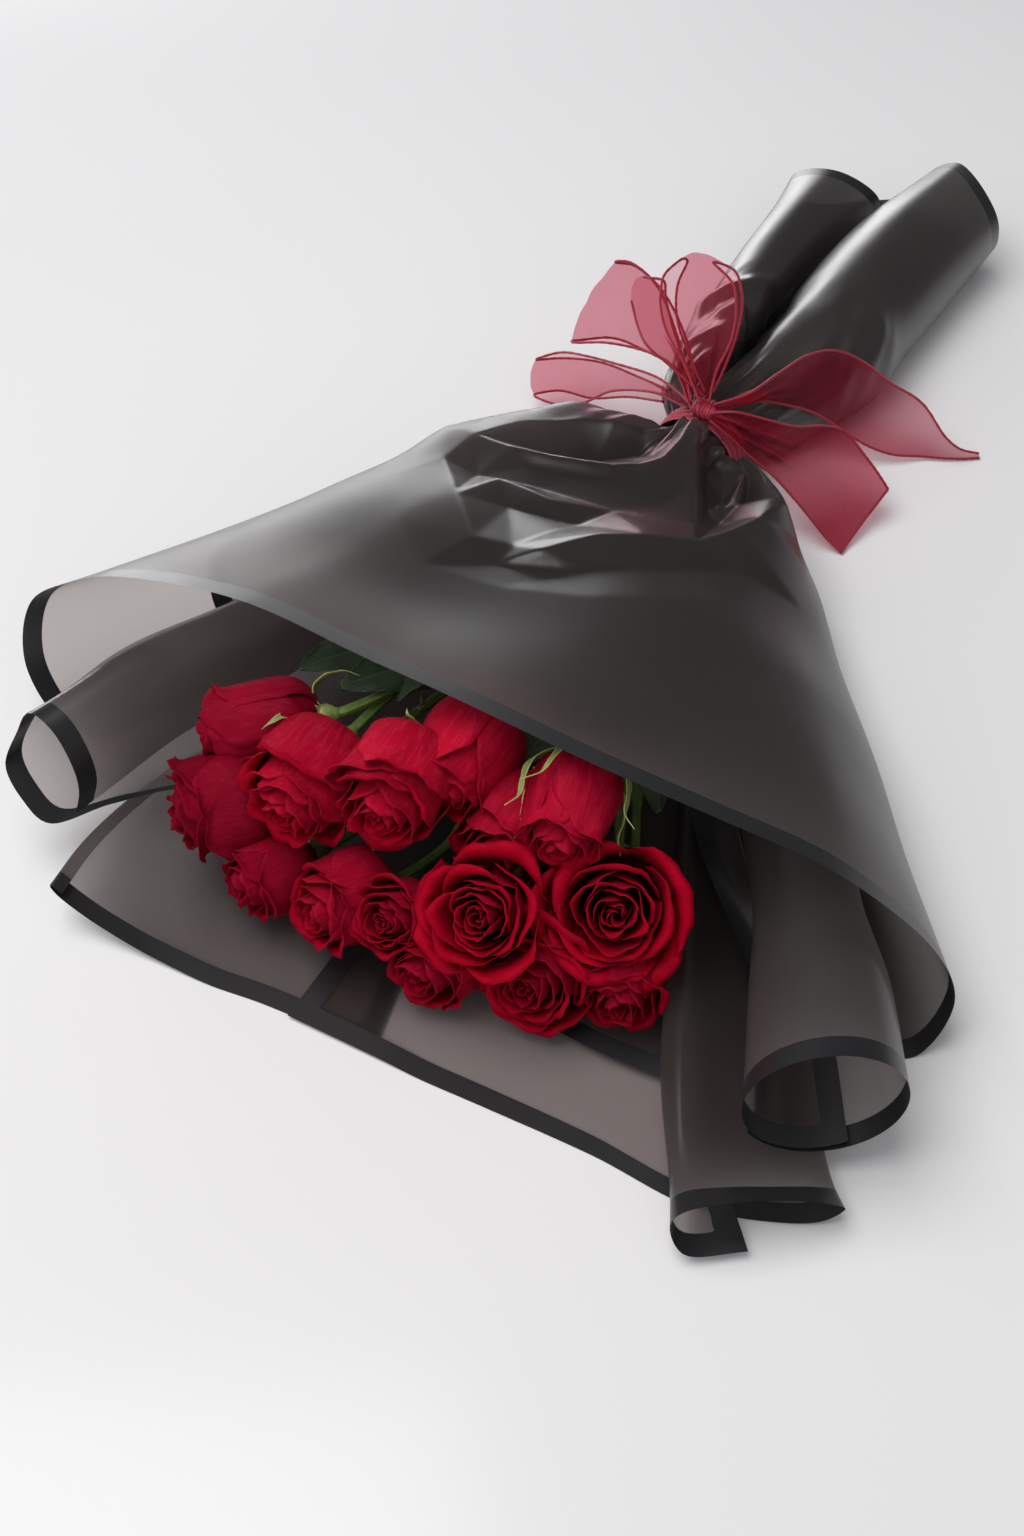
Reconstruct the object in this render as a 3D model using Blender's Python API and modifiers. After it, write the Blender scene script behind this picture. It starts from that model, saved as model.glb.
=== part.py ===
"""A bunch of fifteen long-stemmed red roses in a wrapper, lying down.

The roses are tied at the waist. Six sheets of film are gathered round the stems there: a top sheet that arches
over the heads and goes on as the left fold of the handle, two inner sheets with their sides rolled up, two back
sheets that lie on the table in front, and a handle sheet that rolls up into the right tube of the handle.
An organza ribbon is tied in a bow over the waist.

The bunch lies along Y, heads towards -Y, handle towards +Y, on the plane z = 0. Sizes below are in
millimetres; the objects are in metres.
"""

import math

import bmesh
import bpy
import numpy as np
from mathutils import Vector

ORIGIN = np.array([31.38, -60.52, 0.05])   # the middle of the bunch's base, in the sheets' own coordinates
COLOURS = {
    "film": ((0.075, 0.072, 0.075, 1), 0.38, 0.0),
    "petal": ((0.45, 0.005, 0.02, 1), 0.6, 0.0),
    "stem": ((0.10, 0.16, 0.03, 1), 0.5, 0.0),
    "leaf": ((0.03, 0.075, 0.02, 1), 0.45, 0.0),
    "ribbon": ((0.42, 0.02, 0.06, 1), 0.55, 0.0),
    "tie": ((0.06, 0.12, 0.05, 1), 0.5, 0.0),
}

# ---------------------------------------------------------------- driving dimensions, mm
WAIST = (4.0, -15.0, 27.0)   # centre of the gathered waist
STEM_R = 2.3                 # stem radius
STEM_PITCH = 5.2             # spacing of the stems where they are tied
FILM = 0.7                   # thickness of a film sheet's solid
TABLE = 0.4                  # height of the middle of a sheet that lies on the table
WAIST_R = {"right_inner_sheet": 15.4, "left_inner_sheet": 17.0, "right_back_sheet": 18.6,
           "left_back_sheet": 20.2, "handle_sheet": 21.8, "top_sheet": 23.4}


# ---------------------------------------------------------------- curves and lofts
def spline(points, n, corner=()):
    """A smooth curve through the points, at n places evenly spaced along it."""
    p = np.asarray(points, float)
    d = np.linalg.norm(np.diff(p, axis=0), axis=1) ** 0.5
    t = np.concatenate([[0], np.cumsum(np.maximum(d, 1e-6))])
    m = slopes(t, p)
    fine = np.linspace(0, t[-1], max(40 * len(p), 4 * n))
    c = hermite(t, p, m, fine)
    s = np.concatenate([[0], np.cumsum(np.linalg.norm(np.diff(c, axis=0), axis=1))])
    want = np.linspace(0, s[-1], n)
    return np.stack([np.interp(want, s, c[:, k]) for k in range(3)], 1)


def places(points, n):
    """Where n points evenly spaced along a curve lie, counted in its own points."""
    p = np.asarray(points, float)
    t = np.arange(len(p), dtype=float)
    fine = np.linspace(0, len(p) - 1, 40 * len(p))
    c = hermite(t, p, slopes(t, p), fine)
    s = np.concatenate([[0], np.cumsum(np.linalg.norm(np.diff(c, axis=0), axis=1))])
    return np.interp(np.linspace(0, s[-1], n), s, fine)


def along(points, at):
    """A smooth curve through the points, at places counted in its own points."""
    p = np.asarray(points, float)
    t = np.arange(len(p), dtype=float)
    return hermite(t, p, slopes(t, p), at)


def slopes(t, p):
    """Tangents of a curve through unevenly spaced values."""
    h = np.diff(t).reshape((-1,) + (1,) * (p.ndim - 1))
    d = np.diff(p, axis=0) / h
    m = np.empty_like(p)
    m[0], m[-1] = d[0], d[-1]
    m[1:-1] = (d[:-1] * h[1:] + d[1:] * h[:-1]) / (h[1:] + h[:-1])
    return m


def hermite(t, p, m, at):
    at = np.clip(at, t[0], t[-1])
    i = np.clip(np.searchsorted(t, at, side="right") - 1, 0, len(t) - 2)
    shape = (-1,) + (1,) * (p.ndim - 1)
    h = (t[i + 1] - t[i]).reshape(shape)
    s = ((at - t[i]) / (t[i + 1] - t[i])).reshape(shape)
    return ((2 * s**3 - 3 * s**2 + 1) * p[i] + (s**3 - 2 * s**2 + s) * h * m[i]
            + (-2 * s**3 + 3 * s**2) * p[i + 1] + (s**3 - s**2) * h * m[i + 1])


def arc(y, cx, cz, rx, rz, a0, a1, n, turn=0.0, lean=0.0):
    """A cross-section: an arc of an ellipse, angles in degrees from straight down, growing towards -X.
    turn draws the end of the arc inwards, as in a scroll."""
    a = np.radians(np.linspace(a0, a1, n))
    k = 1 - turn * np.linspace(0, 1, n) ** 2
    return np.stack([cx - rx * k * np.sin(a), y + lean * np.sin(a), cz - rz * k * np.cos(a)], 1)


def loft(rows, step):
    """A surface through the rows, with further rows between them wherever they are over step mm apart: (nv, nu, 3)."""
    p = np.asarray(rows, float)
    mid = np.linalg.norm(np.diff(p, axis=0), axis=2).mean(1)
    t = np.concatenate([[0], np.cumsum(mid)])
    at = [0.0]
    for k in range(len(mid)):
        n = max(1, int(math.ceil(mid[k] / step)))
        at += list(t[k] + (t[k + 1] - t[k]) * np.arange(1, n + 1) / n)
    q = hermite(t, p, slopes(t, p), np.array(at))
    q[..., 2] = np.maximum(q[..., 2], TABLE)
    return q


def ring(name, y, a0, a1, n, grow=0.0, dx=0.0):
    """A sheet's section at the waist, y from the waist's centre."""
    r = WAIST_R[name] + grow
    return arc(WAIST[1] + y, WAIST[0] + dx, WAIST[2], r, r, a0, a1, n)


def scroll(y, flap, cx, cz, rx, rz, a0, a1, n, turn):
    """A section that runs along the flap's points and then into a roll."""
    a = arc(y, cx, cz, rx, rz, a0, a1, 12, turn)
    return spline([(x, y, z) for x, z in flap] + [tuple(q) for q in a], n)


# ---------------------------------------------------------------- the film sheets
def top_sheet(nu, step):
    """Arches over the roses; its sides curl under; past the waist it is the handle's left fold."""
    s = lambda *p: spline(p, nu)
    rows = [
        s((-160, -338, 1.6), (-186, -337, 0.4), (-204, -335, 30), (-196, -330, 70), (-172, -324, 88), (-150, -321, 98), (-75, -324, 116), (10, -338, 125),
          (91, -346, 127), (165, -341, 118), (215, -327, 97), (250, -310, 58), (263, -308, 26), (256, -321, 1.6), (238, -334, 0.4)),
        s((-138, -284, 1.4), (-160, -284, 0.4), (-176, -283, 28), (-170, -278, 62), (-140, -275, 90), (-70, -276, 108), (5, -284, 114),
          (78, -288, 116), (140, -284, 108), (185, -272, 90), (214, -262, 55), (226, -258, 25), (220, -266, 1.6), (202, -276, 0.4)),
        s((-114, -228, 1.6), (-134, -228, 0.6), (-150, -226, 28), (-146, -224, 56), (-118, -222, 85), (-60, -222, 100), (0, -227, 104),
          (60, -228, 104), (115, -224, 96), (155, -215, 78), (180, -208, 50), (190, -205, 24), (182, -210, 2), (164, -218, 0.8)),
        s((-88, -172, 3), (-110, -172, 3), (-124, -172, 26), (-120, -172, 52), (-104, -172, 79), (-52, -172, 90), (0, -172, 93),
          (48, -172, 92), (88, -168, 82), (118, -158, 64), (138, -148, 42), (146, -146, 22), (141, -148, 5), (122, -156, 1.8)),
        s((-62, -122, 4), (-82, -122, 3), (-96, -122, 24), (-97, -123, 50), (-92, -124, 75), (-52, -124, 77), (-10, -120, 77),
          (28, -118, 75), (60, -112, 70), (86, -100, 58), (102, -92, 38), (108, -90, 22), (104, -92, 6), (88, -100, 2.2)),
        s((-44, -74, 5), (-58, -74, 5), (-72, -74, 20), (-78, -73, 40), (-74, -70, 60), (-44, -70, 62), (-10, -66, 63),
          (20, -66, 63), (46, -66, 61), (68, -66, 56), (80, -66, 40), (84, -68, 24), (78, -70, 8), (62, -72, 3.5)),
        s((-34, -46, 7), (-44, -46, 9), (-54, -46, 20), (-59, -46, 36), (-56, -44, 52), (-38, -42, 60), (-14, -40, 61),
          (9, -41, 62), (28, -42, 58), (46, -42, 52), (56, -46, 40), (58, -48, 26), (50, -48, 11), (38, -48, 6)),
        *(ring("top_sheet", y, 50 + (y + 9) * 1.67, 320 - (y + 9) * 7.2, nu) for y in (-9, -6, -3, 0, 3, 6, 9)),
        s((-24, 30, 10), (-31, 30, 17), (-35, 30, 27), (-34, 30, 40), (-29, 30, 50), (-23, 30, 55), (-17, 30, 57), (-12, 30, 57), (-8.5, 30, 55.5), (-6.5, 30, 52.5)),
        s((-24, 90, 3), (-38, 90, 5), (-45, 90, 17), (-47, 90, 31), (-43, 90, 45), (-34, 90, 54), (-23, 90, 56), (-14, 90, 51), (-10, 90, 40), (-10.5, 90, 28)),
        s((-36, 160, 3), (-48, 160, 5), (-56, 160, 16), (-58, 160, 28), (-54, 160, 42), (-44, 160, 51), (-31, 160, 53), (-20, 160, 46), (-15, 160, 34), (-16, 160, 20)),
        s((-46, 225, 3), (-56, 226, 5), (-63, 226, 16), (-64, 226, 27), (-60, 224, 39), (-50, 222, 48), (-36, 222, 51), (-23, 224, 44), (-15, 228, 31), (-15, 230, 17)),
        s((-58, 282, 3), (-66, 281, 7), (-70, 280, 16), (-71, 278, 27), (-68, 276, 36), (-58, 274, 44), (-38, 272, 49), (-23, 276, 44), (-12, 284, 32), (-11, 292, 16)),
    ]
    return loft(rows, step)


def left_inner_sheet(nu, step):
    """Its left side rolled into an open tube, its flat part under the roses."""
    s = lambda *p: spline(p, nu)
    rows = [
        s((-117.5, -405, 34), (-116, -402, 46), (-118, -401, 60), (-129, -398, 74), (-143, -396, 76), (-147, -401, 67), (-152, -408, 50), (-141, -413, 38), (-128, -413, 29),
          (-113, -386, 25), (-92, -354, 15), (-46, -350, 7), (16, -364, 5.5), (80, -382, 5.5), (135, -388, 5.5), (178, -386, 5.5)),
        s((-105.5, -352, 36), (-103, -350, 48), (-106, -348, 62), (-116, -346, 74), (-130, -345, 76), (-139, -347, 68), (-140, -350, 52), (-132, -353, 38), (-118, -352, 27),
          (-103, -344, 19), (-82, -327, 10.5), (-37, -326, 6.2), (18, -336, 5.5), (72, -338, 5.5), (124, -340, 5.5), (164, -340, 5.5)),
        s((-85.5, -285, 36), (-83, -284, 48), (-86, -283, 60), (-95, -282, 70), (-108, -282, 72), (-117, -283, 64), (-119, -284, 50), (-112, -285, 37), (-99, -285, 27),
          (-85, -284, 19), (-66, -282, 10.5), (-30, -282, 6.5), (15, -282, 5.5), (60, -282, 5.5), (103, -282, 5.5), (134, -282, 6.5)),
        s((-64, -205, 38), (-60, -205, 46), (-64, -205, 55), (-72, -205, 61), (-82, -205, 62), (-91, -205, 56), (-93, -205, 46), (-88, -205, 35), (-78, -205, 26),
          (-66, -205, 19), (-50, -205, 12), (-24, -205, 8), (8, -205, 7), (40, -205, 7), (70, -205, 8), (94, -205, 10)),
        s((-42, -120, 44), (-39, -120, 48), (-42, -120, 52), (-48, -120, 56), (-55, -120, 56), (-61, -120, 51), (-62, -120, 43), (-58, -120, 33), (-52, -120, 25),
          (-44, -120, 19), (-33, -120, 14), (-16, -120, 10.5), (6, -120, 9.6), (26, -120, 10), (44, -120, 12.5), (57, -120, 18)),
        s((-27, -50, 50), (-28, -50, 50), (-30, -50, 49), (-31.5, -50, 46), (-32, -50, 42), (-31.5, -50, 37), (-30, -50, 31.5), (-27.5, -50, 26), (-24, -50, 20.5),
          (-19, -50, 16), (-13, -50, 13), (-4, -50, 11), (6, -50, 11), (15, -50, 13.2), (22.5, -50, 18), (27.5, -50, 26)),
        ring("left_inner_sheet", -9, 130, -70, nu),
        ring("left_inner_sheet", 9, 130, -70, nu),
        ring("left_inner_sheet", 42, 125, -65, nu, 0.6, 3),
    ]
    return loft(rows, step)


def right_inner_sheet(nu, step):
    """Rolled into the large round tube at the right; its flap opens towards the waist."""
    rows = [
        arc(-398, 240, 49.5, 27, 31.5, 60, -385, nu, 0.10, -18),
        arc(-345, 216, 50, 27, 29.5, 62, -375, nu, 0.10, -10),
        scroll(-280, ((130, 34), (140, 38)), 177, 51, 27, 28, 80, -350, nu, 0.10),
        scroll(-200, ((84, 31), (92, 33)), 121, 47, 23, 21, 74, -320, nu, 0.12),
        arc(-120, 49, 38, 10, 15.5, 25, -270, nu, 0.2),
        arc(-62, 6, 31, 19, 18.5, -20, -160, nu),
        ring("right_inner_sheet", -9, -20, -155, nu),
        ring("right_inner_sheet", 9, -20, -155, nu),
        ring("right_inner_sheet", 40, -20, -150, nu, 0.5, 3),
    ]
    return loft(rows, step)


def right_back_sheet(nu, step):
    """Flat on the table in front; its right side rolled over into a flattened tube."""
    s = lambda *p: spline(p, nu)
    rows = [
        s((13, -434, 1.9), (58, -434, 1.6), (80, -434, 0.5), (110, -433, 0.4), (160, -432, 0.4), (205, -434, 0.4), (238, -424, 0.8), (255, -416, 4), (261, -412, 12), (254, -420, 22), (236, -434, 29),
          (221, -446, 31), (209, -454, 27), (205, -457, 18), (213, -459, 7), (234, -444.5, 5)),
        s((12, -398, 1.9), (52, -398, 1.6), (74, -398, 0.5), (102, -398, 0.4), (148, -398, 0.4), (188, -398, 0.4), (216, -392, 0.8), (234, -386, 3.6), (240, -384, 8), (232, -388, 11.5), (214, -396, 12),
          (197, -402, 20), (184, -406, 27), (177, -407, 19), (182, -408, 10), (198, -404, 9)),
        s((10, -340, 1.9), (44, -340, 1.7), (66, -340, 0.6), (90, -340, 0.5), (130, -340, 0.5), (164, -340, 0.5), (190, -338, 0.9), (205, -336, 3.6), (211, -335, 8), (204, -337, 11.5), (186, -340, 14),
          (168, -342, 24), (155, -343, 28), (148, -343, 20), (153, -343, 11), (168, -342, 9)),
        s((6, -270, 2.6), (34, -270, 2.4), (52, -270, 2.0), (70, -270, 1.8), (104, -270, 1.8), (133, -270, 1.8), (155, -270, 2.2), (167, -270, 4), (172, -270, 8), (166, -270, 12), (151, -270, 16),
          (134, -270, 25), (123, -270, 28), (117, -270, 21), (121, -270, 13), (133, -270, 10)),
        s((0, -190, 4.6), (24, -190, 4.2), (36, -190, 4.1), (48, -190, 4), (72, -190, 4), (93, -190, 4.4), (108, -190, 6), (117, -190, 10), (119, -190, 16), (114, -190, 20), (103, -190, 20.5),
          (93, -190, 25), (86, -190, 27), (83, -190, 23), (87, -190, 17.5), (94, -190, 15)),
        s((-8, -115, 7.6), (8, -115, 7), (16, -115, 6.9), (24, -115, 7), (40, -115, 8), (53, -115, 10.5), (63, -115, 14), (69, -115, 18.5), (71.5, -115, 22), (72, -115, 24), (72, -115, 25.5),
          (71.5, -115, 27), (71, -115, 28.2), (70.5, -115, 29.4), (70, -115, 30.4), (69.5, -115, 31.2)),
        s((-12, -50, 9.6), (-4, -50, 8.8), (0, -50, 8.7), (5, -50, 8.9), (13, -50, 10.4), (20, -50, 13.4), (26, -50, 18), (29.5, -50, 23), (31, -50, 28), (31.2, -50, 31), (31, -50, 33.5),
          (30.6, -50, 35.5), (30, -50, 37.5), (29.3, -50, 39.5), (28.5, -50, 41.2), (27.6, -50, 43)),
        ring("right_back_sheet", -9, 30, -130, nu),
        ring("right_back_sheet", 9, 30, -130, nu),
        ring("right_back_sheet", 44, 30, -125, nu, 0.7, 3),
    ]
    return loft(rows, step)


def left_back_sheet(nu, step):
    """Flat on the table in front, folded up at the left."""
    s = lambda *p: spline(p, nu)
    rows = [
        s((-100, -440, 23), (-106, -440, 26), (-103, -440, 22), (-90, -439, 14), (-74, -438, 8), (-52, -437, 3), (-27, -436, 0.6), (0, -433, 0.4), (30, -432, 0.4), (56, -432, 0.4)),
        s((-107, -408, 19), (-113, -409, 22), (-110, -409, 18), (-96, -408, 10.5), (-78, -407, 5.5), (-54, -406, 2), (-30, -404, 0.4), (0, -402, 0.4), (28, -401, 0.4), (48, -400, 0.4)),
        s((-109, -369, 14), (-115, -370, 16), (-111, -370, 12.5), (-96, -369, 6.5), (-78, -368, 3.4), (-56, -367, 1.4), (-32, -367, 0.4), (-6, -366, 0.4), (20, -366, 0.4), (40, -365, 0.4)),
        s((-94, -300, 8.5), (-100, -300, 9.5), (-97, -300, 7), (-84, -300, 4), (-68, -300, 2.4), (-50, -300, 1.2), (-30, -300, 0.6), (-8, -300, 0.4), (14, -300, 0.4), (32, -300, 0.4)),
        s((-64, -200, 10), (-71, -200, 11.5), (-73, -200, 10), (-69, -200, 7), (-61, -200, 5), (-46, -200, 3.3), (-28, -200, 2.6), (-10, -200, 2.4), (6, -200, 2.3), (20, -200, 2.3)),
        s((-49, -115, 18), (-51, -115, 16), (-50, -115, 13.5), (-46, -115, 11.5), (-40, -115, 9.4), (-31, -115, 7.2), (-21, -115, 5.6), (-10, -115, 5), (0, -115, 4.8), (10, -115, 4.8)),
        s((-33, -50, 23), (-31.5, -50, 19.4), (-29, -50, 16.2), (-25.5, -50, 13.4), (-21, -50, 11), (-15, -50, 8.7), (-9, -50, 7.2), (-3, -50, 6.5), (3, -50, 6.4), (9, -50, 6.8)),
        ring("left_back_sheet", -9, 72, -25, nu),
        ring("left_back_sheet", 9, 66, -25, nu),
        ring("left_back_sheet", 38, 45, -25, nu, 0.8, 3),
    ]
    return loft(rows, step)


def handle_sheet(nu, step):
    """A second arch under the top sheet; past the waist it flares on the table at the left and rolls into the
    large right tube of the handle."""
    s = lambda *p: spline(p, nu)

    def hoop(y):
        share = np.linspace(0, 1, nu)
        a = np.radians(np.interp(share, (0, 0.24, 1), (60, 76, 305)))
        r = WAIST_R["handle_sheet"]
        return np.stack([WAIST[0] - r * np.sin(a), np.full(nu, WAIST[1] + y), WAIST[2] - r * np.cos(a)], 1)

    last = ((-74, 300, 5), (-68, 306, 2.5), (-56, 312, 0.6), (-34, 330, 0.5), (-16, 338, 3), (-4, 332, 12), (4, 322, 26), (10, 317, 40), (22, 310, 52),
            (35, 300, 59), (54, 280, 60), (68, 275, 47), (72, 276, 33), (68, 285, 16), (56, 290, 2), (40, 292, 0.4))
    k = places(last, nu)
    s2 = lambda *p: along(p, k)
    rows = [
        s((-145, -250, 10), (-151, -252, 32), (-148, -252, 60), (-125, -250, 83), (-62, -250, 98), (4, -254, 103), (68, -256, 104), (128, -250, 96), (168, -244, 79), (194, -238, 50), (202, -236, 26), (197, -240, 8)),
        s((-101, -172, 9), (-113, -172, 30), (-112, -172, 54), (-99, -172, 74), (-50, -172, 85), (0, -172, 88), (46, -172, 87), (85, -168, 77), (113, -158, 60), (132, -148, 41), (140, -146, 22), (134, -148, 8)),
        s((-78, -122, 6), (-91, -122, 24), (-92, -122, 48), (-86, -122, 70), (-50, -122, 72), (-10, -119, 72), (26, -117, 70), (57, -111, 65), (81, -100, 54), (97, -92, 37), (103, -90, 22), (98, -92, 9)),
        s((-56, -74, 9), (-67, -74, 20), (-73, -73, 39), (-69, -70, 55), (-43, -70, 57.5), (-10, -66, 58.5), (19, -66, 58.5), (44, -66, 57), (65, -66, 51), (75, -66, 39), (79, -68, 24), (72, -70, 12)),
        s((-40, -46, 17), (-47.5, -46, 26), (-52, -46, 38), (-51, -44, 48), (-36, -43, 55.5), (-14, -42, 56.5), (8, -42, 57), (26, -43, 53.5), (42, -43, 47.5), (51, -46, 38), (53, -48, 26), (46, -48, 15)),
        hoop(-9), hoop(0), hoop(9),
        s2((-30, 42, 4), (-27, 42, 2.2), (-22, 42, 1.2), (-14, 42, 0.8), (-9, 42, 1.2), (-11.5, 42, 12), (-12.5, 42, 26), (-9, 42, 40), (2, 42, 49), (16, 42, 52), (30, 42, 48), (40, 42, 37), (43, 42, 26), (41, 42, 14), (33, 42, 5), (24, 42, 2)),
        s2((-62, 100, 11), (-60, 100, 5), (-48, 100, 0.6), (-20, 100, 0.4), (4, 100, 0.8), (1, 100, 14), (-3.5, 100, 30), (0, 100, 46), (12, 100, 58), (30, 100, 63), (48, 100, 58), (60, 100, 44), (63.5, 100, 28), (60, 100, 12), (48, 100, 1.4), (36, 100, 0.4)),
        s2((-64, 150, 12), (-62, 150, 5), (-50, 150, 0.6), (-20, 150, 0.4), (2, 150, 0.8), (-2, 150, 12), (-9, 150, 30), (-4, 150, 46), (10, 150, 58), (29, 150, 63), (48, 150, 58), (61, 150, 44), (65.5, 150, 28), (62, 150, 12), (50, 150, 1.4), (36, 150, 0.4)),
        s2((-70, 215, 9), (-66, 215, 4), (-54, 215, 0.6), (-26, 215, 0.4), (0, 215, 0.8), (-4, 216, 12), (-9, 217, 28), (-4, 217, 44), (10, 216, 56), (30, 214, 62), (50, 213, 58), (63, 213, 45), (68, 214, 29), (65, 216, 13), (54, 218, 1.4), (38, 219, 0.4)),
        s2(*last),
    ]
    return loft(rows, step)


SHEETS = {"top_sheet": top_sheet, "left_inner_sheet": left_inner_sheet, "right_inner_sheet": right_inner_sheet,
          "right_back_sheet": right_back_sheet, "left_back_sheet": left_back_sheet, "handle_sheet": handle_sheet}


# ---------------------------------------------------------------- the roses: opening, direction, length, radius, openness
ROSES = {
    "01": ((-76, -364, 66), (-0.86, -0.50, -0.22), 58, 18, 0.35),
    "02": ((-77, -388, 40), (-0.75, -0.62, -0.15), 46, 21, 0.6),
    "03": ((-12, -392, 70), (0.02, -0.98, -0.08), 52, 23, 0.75),
    "04": ((32, -385, 84), (0.16, -0.97, -0.08), 50, 23, 0.8),
    "05": ((52, -358, 88), (0.16, -0.98, -0.06), 50, 24, 0.3),
    "06": ((85, -399, 70), (0.12, -0.72, 0.64), 46, 28, 1.0),
    "07": ((109, -367, 92), (0.32, -0.93, -0.12), 52, 24, 0.5),
    "08": ((135, -370, 70), (0.32, -0.70, 0.62), 46, 30, 1.0),
    "09": ((7, -410, 40), (-0.35, -0.86, 0.24), 44, 21, 0.6),
    "10": ((43, -407, 52), (-0.05, -0.80, 0.56), 38, 15, 0.5),
    "11": ((61, -412, 28), (-0.12, -0.96, 0.10), 44, 20, 0.7),
    "12": ((107, -399, 34), (0.10, -0.90, 0.30), 42, 25, 0.9),
    "13": ((-36, -406, 26), (-0.45, -0.88, 0.02), 44, 18, 0.6),
    "14": ((144, -384, 27), (0.34, -0.94, 0.02), 42, 17, 0.6),
    "15": ((76, -365, 68), (0.04, -0.98, 0.06), 46, 20, 0.5),
}


def roses():
    out = []
    for name, (tip, d, length, r, opening) in ROSES.items():
        tip, d = np.array(tip, float), np.array(d, float)
        d /= np.linalg.norm(d)
        u = np.cross(d, (0, 0, 1.0))
        u /= np.linalg.norm(u)
        out.append(dict(name="rose_" + name, tip=tip, d=d, base=tip - d * length, length=length, r=r, open=opening, u=u, v=np.cross(u, d)))
    return out


def stem_slots():
    """Fifteen places in a hexagonal packing round the waist's centre."""
    found = []
    for i in range(-3, 4):
        for j in range(-3, 4):
            found.append((STEM_PITCH * (i + 0.5 * j), STEM_PITCH * math.sqrt(0.75) * j))
    found.sort(key=lambda p: (round(math.hypot(*p), 3), round(math.atan2(p[1], p[0]), 3)))
    return found[:len(ROSES)]


def stems():
    """Each stem's centre line, from its rose to its cut end; none touches another."""
    heads = roses()
    want = np.array([((h["base"][0] - 40) * 0.09, (h["base"][2] - 50) * 0.26) for h in heads])
    slots = np.array(stem_slots())
    pick = list(range(len(heads)))
    better = True
    while better:
        better = False
        for i in range(len(pick)):
            for j in range(i + 1, len(pick)):
                now = ((slots[pick[i]] - want[i]) ** 2).sum() + ((slots[pick[j]] - want[j]) ** 2).sum()
                new = ((slots[pick[j]] - want[i]) ** 2).sum() + ((slots[pick[i]] - want[j]) ** 2).sum()
                if new < now - 1e-9:
                    pick[i], pick[j] = pick[j], pick[i]
                    better = True
    ys = np.concatenate([np.linspace(-330, -45, 20), [-30, -15, 0, 14]])
    n = len(ys)
    lines = np.zeros((len(heads), n, 2))
    for i, h in enumerate(heads):
        b = h["base"] - h["d"] * 6
        end = np.array([WAIST[0] + slots[pick[i]][0], -32.0, WAIST[2] + slots[pick[i]][1]])
        run = end[1] - b[1]
        k = min(90.0, 0.35 * run)
        t = np.array([0, 1.0])
        m0, m1 = -h["d"] * k * 2.2, np.array([0, run * 0.9, 0])
        s = np.linspace(0, 1, 80)[:, None]
        c = ((2 * s**3 - 3 * s**2 + 1) * b + (s**3 - 2 * s**2 + s) * m0 + (-2 * s**3 + 3 * s**2) * end + (s**3 - s**2) * m1)
        yy = np.maximum.accumulate(c[:, 1])
        lines[i, :, 0] = np.interp(ys, yy, c[:, 0])
        lines[i, :, 1] = np.interp(ys, yy, c[:, 2])
        lines[i, ys >= -31] = end[[0, 2]]
        h["start"] = b[1]
    gap = 2 * STEM_R + 0.9
    for _ in range(120):
        for k in range(n):
            if ys[k] >= -31:
                continue
            for i in range(len(heads)):
                if ys[k] < heads[i]["start"] - 4:
                    continue
                for j in range(i + 1, len(heads)):
                    if ys[k] < heads[j]["start"] - 4:
                        continue
                    d = lines[i, k] - lines[j, k]
                    if math.hypot(*d) < 2.5:   # two that would cross: one passes over the other
                        d = d + (0, 1.5)
                    r = math.hypot(*d)
                    if r < gap:
                        d = d / r if r > 1e-6 else np.array([1.0, 0])
                        lines[i, k] += d * (gap - r) / 2
                        lines[j, k] -= d * (gap - r) / 2
        low = np.interp(ys, (-330, -110, -31), (15, 20.5, 16.2))
        lines[:, :, 1] = np.maximum(lines[:, :, 1], low + np.where(ys > -31, 0, 0.14) * np.maximum(lines[:, :, 0] - 12, 0))
        smooth = lines.copy()
        smooth[:, 1:-1] = 0.25 * lines[:, :-2] + 0.5 * lines[:, 1:-1] + 0.25 * lines[:, 2:]
        fixed = (ys >= -31) | (ys <= ys[0])
        lines = np.where(fixed[None, :, None], lines, 0.8 * lines + 0.2 * smooth)
    back = [(40, 9.0, 29.0), (70, 18.0, 30.5), (110, 25.0, 31.5), (150, 29.0, 31.5), (188, 31.0, 31.5)]
    out = []
    for i, h in enumerate(heads):
        b = h["base"] - h["d"] * 0.6
        pts = [tuple(b), tuple(h["base"] - h["d"] * 6)]
        for k in range(n):
            if ys[k] > h["base"][1] - h["d"][1] * 6 + 14:
                pts.append((lines[i, k, 0], ys[k], lines[i, k, 1]))
        off = slots[pick[i]]
        for y, cx, cz in back:
            g = 1.0 + 0.04 * (y - 14) / 100
            last = y + (5.0 * math.sin(i * 2.4) if y > 180 else 0)
            pts.append((cx + off[0] * g, last, cz + off[1] * g))
        out.append(np.array(pts))
    return out


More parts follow.
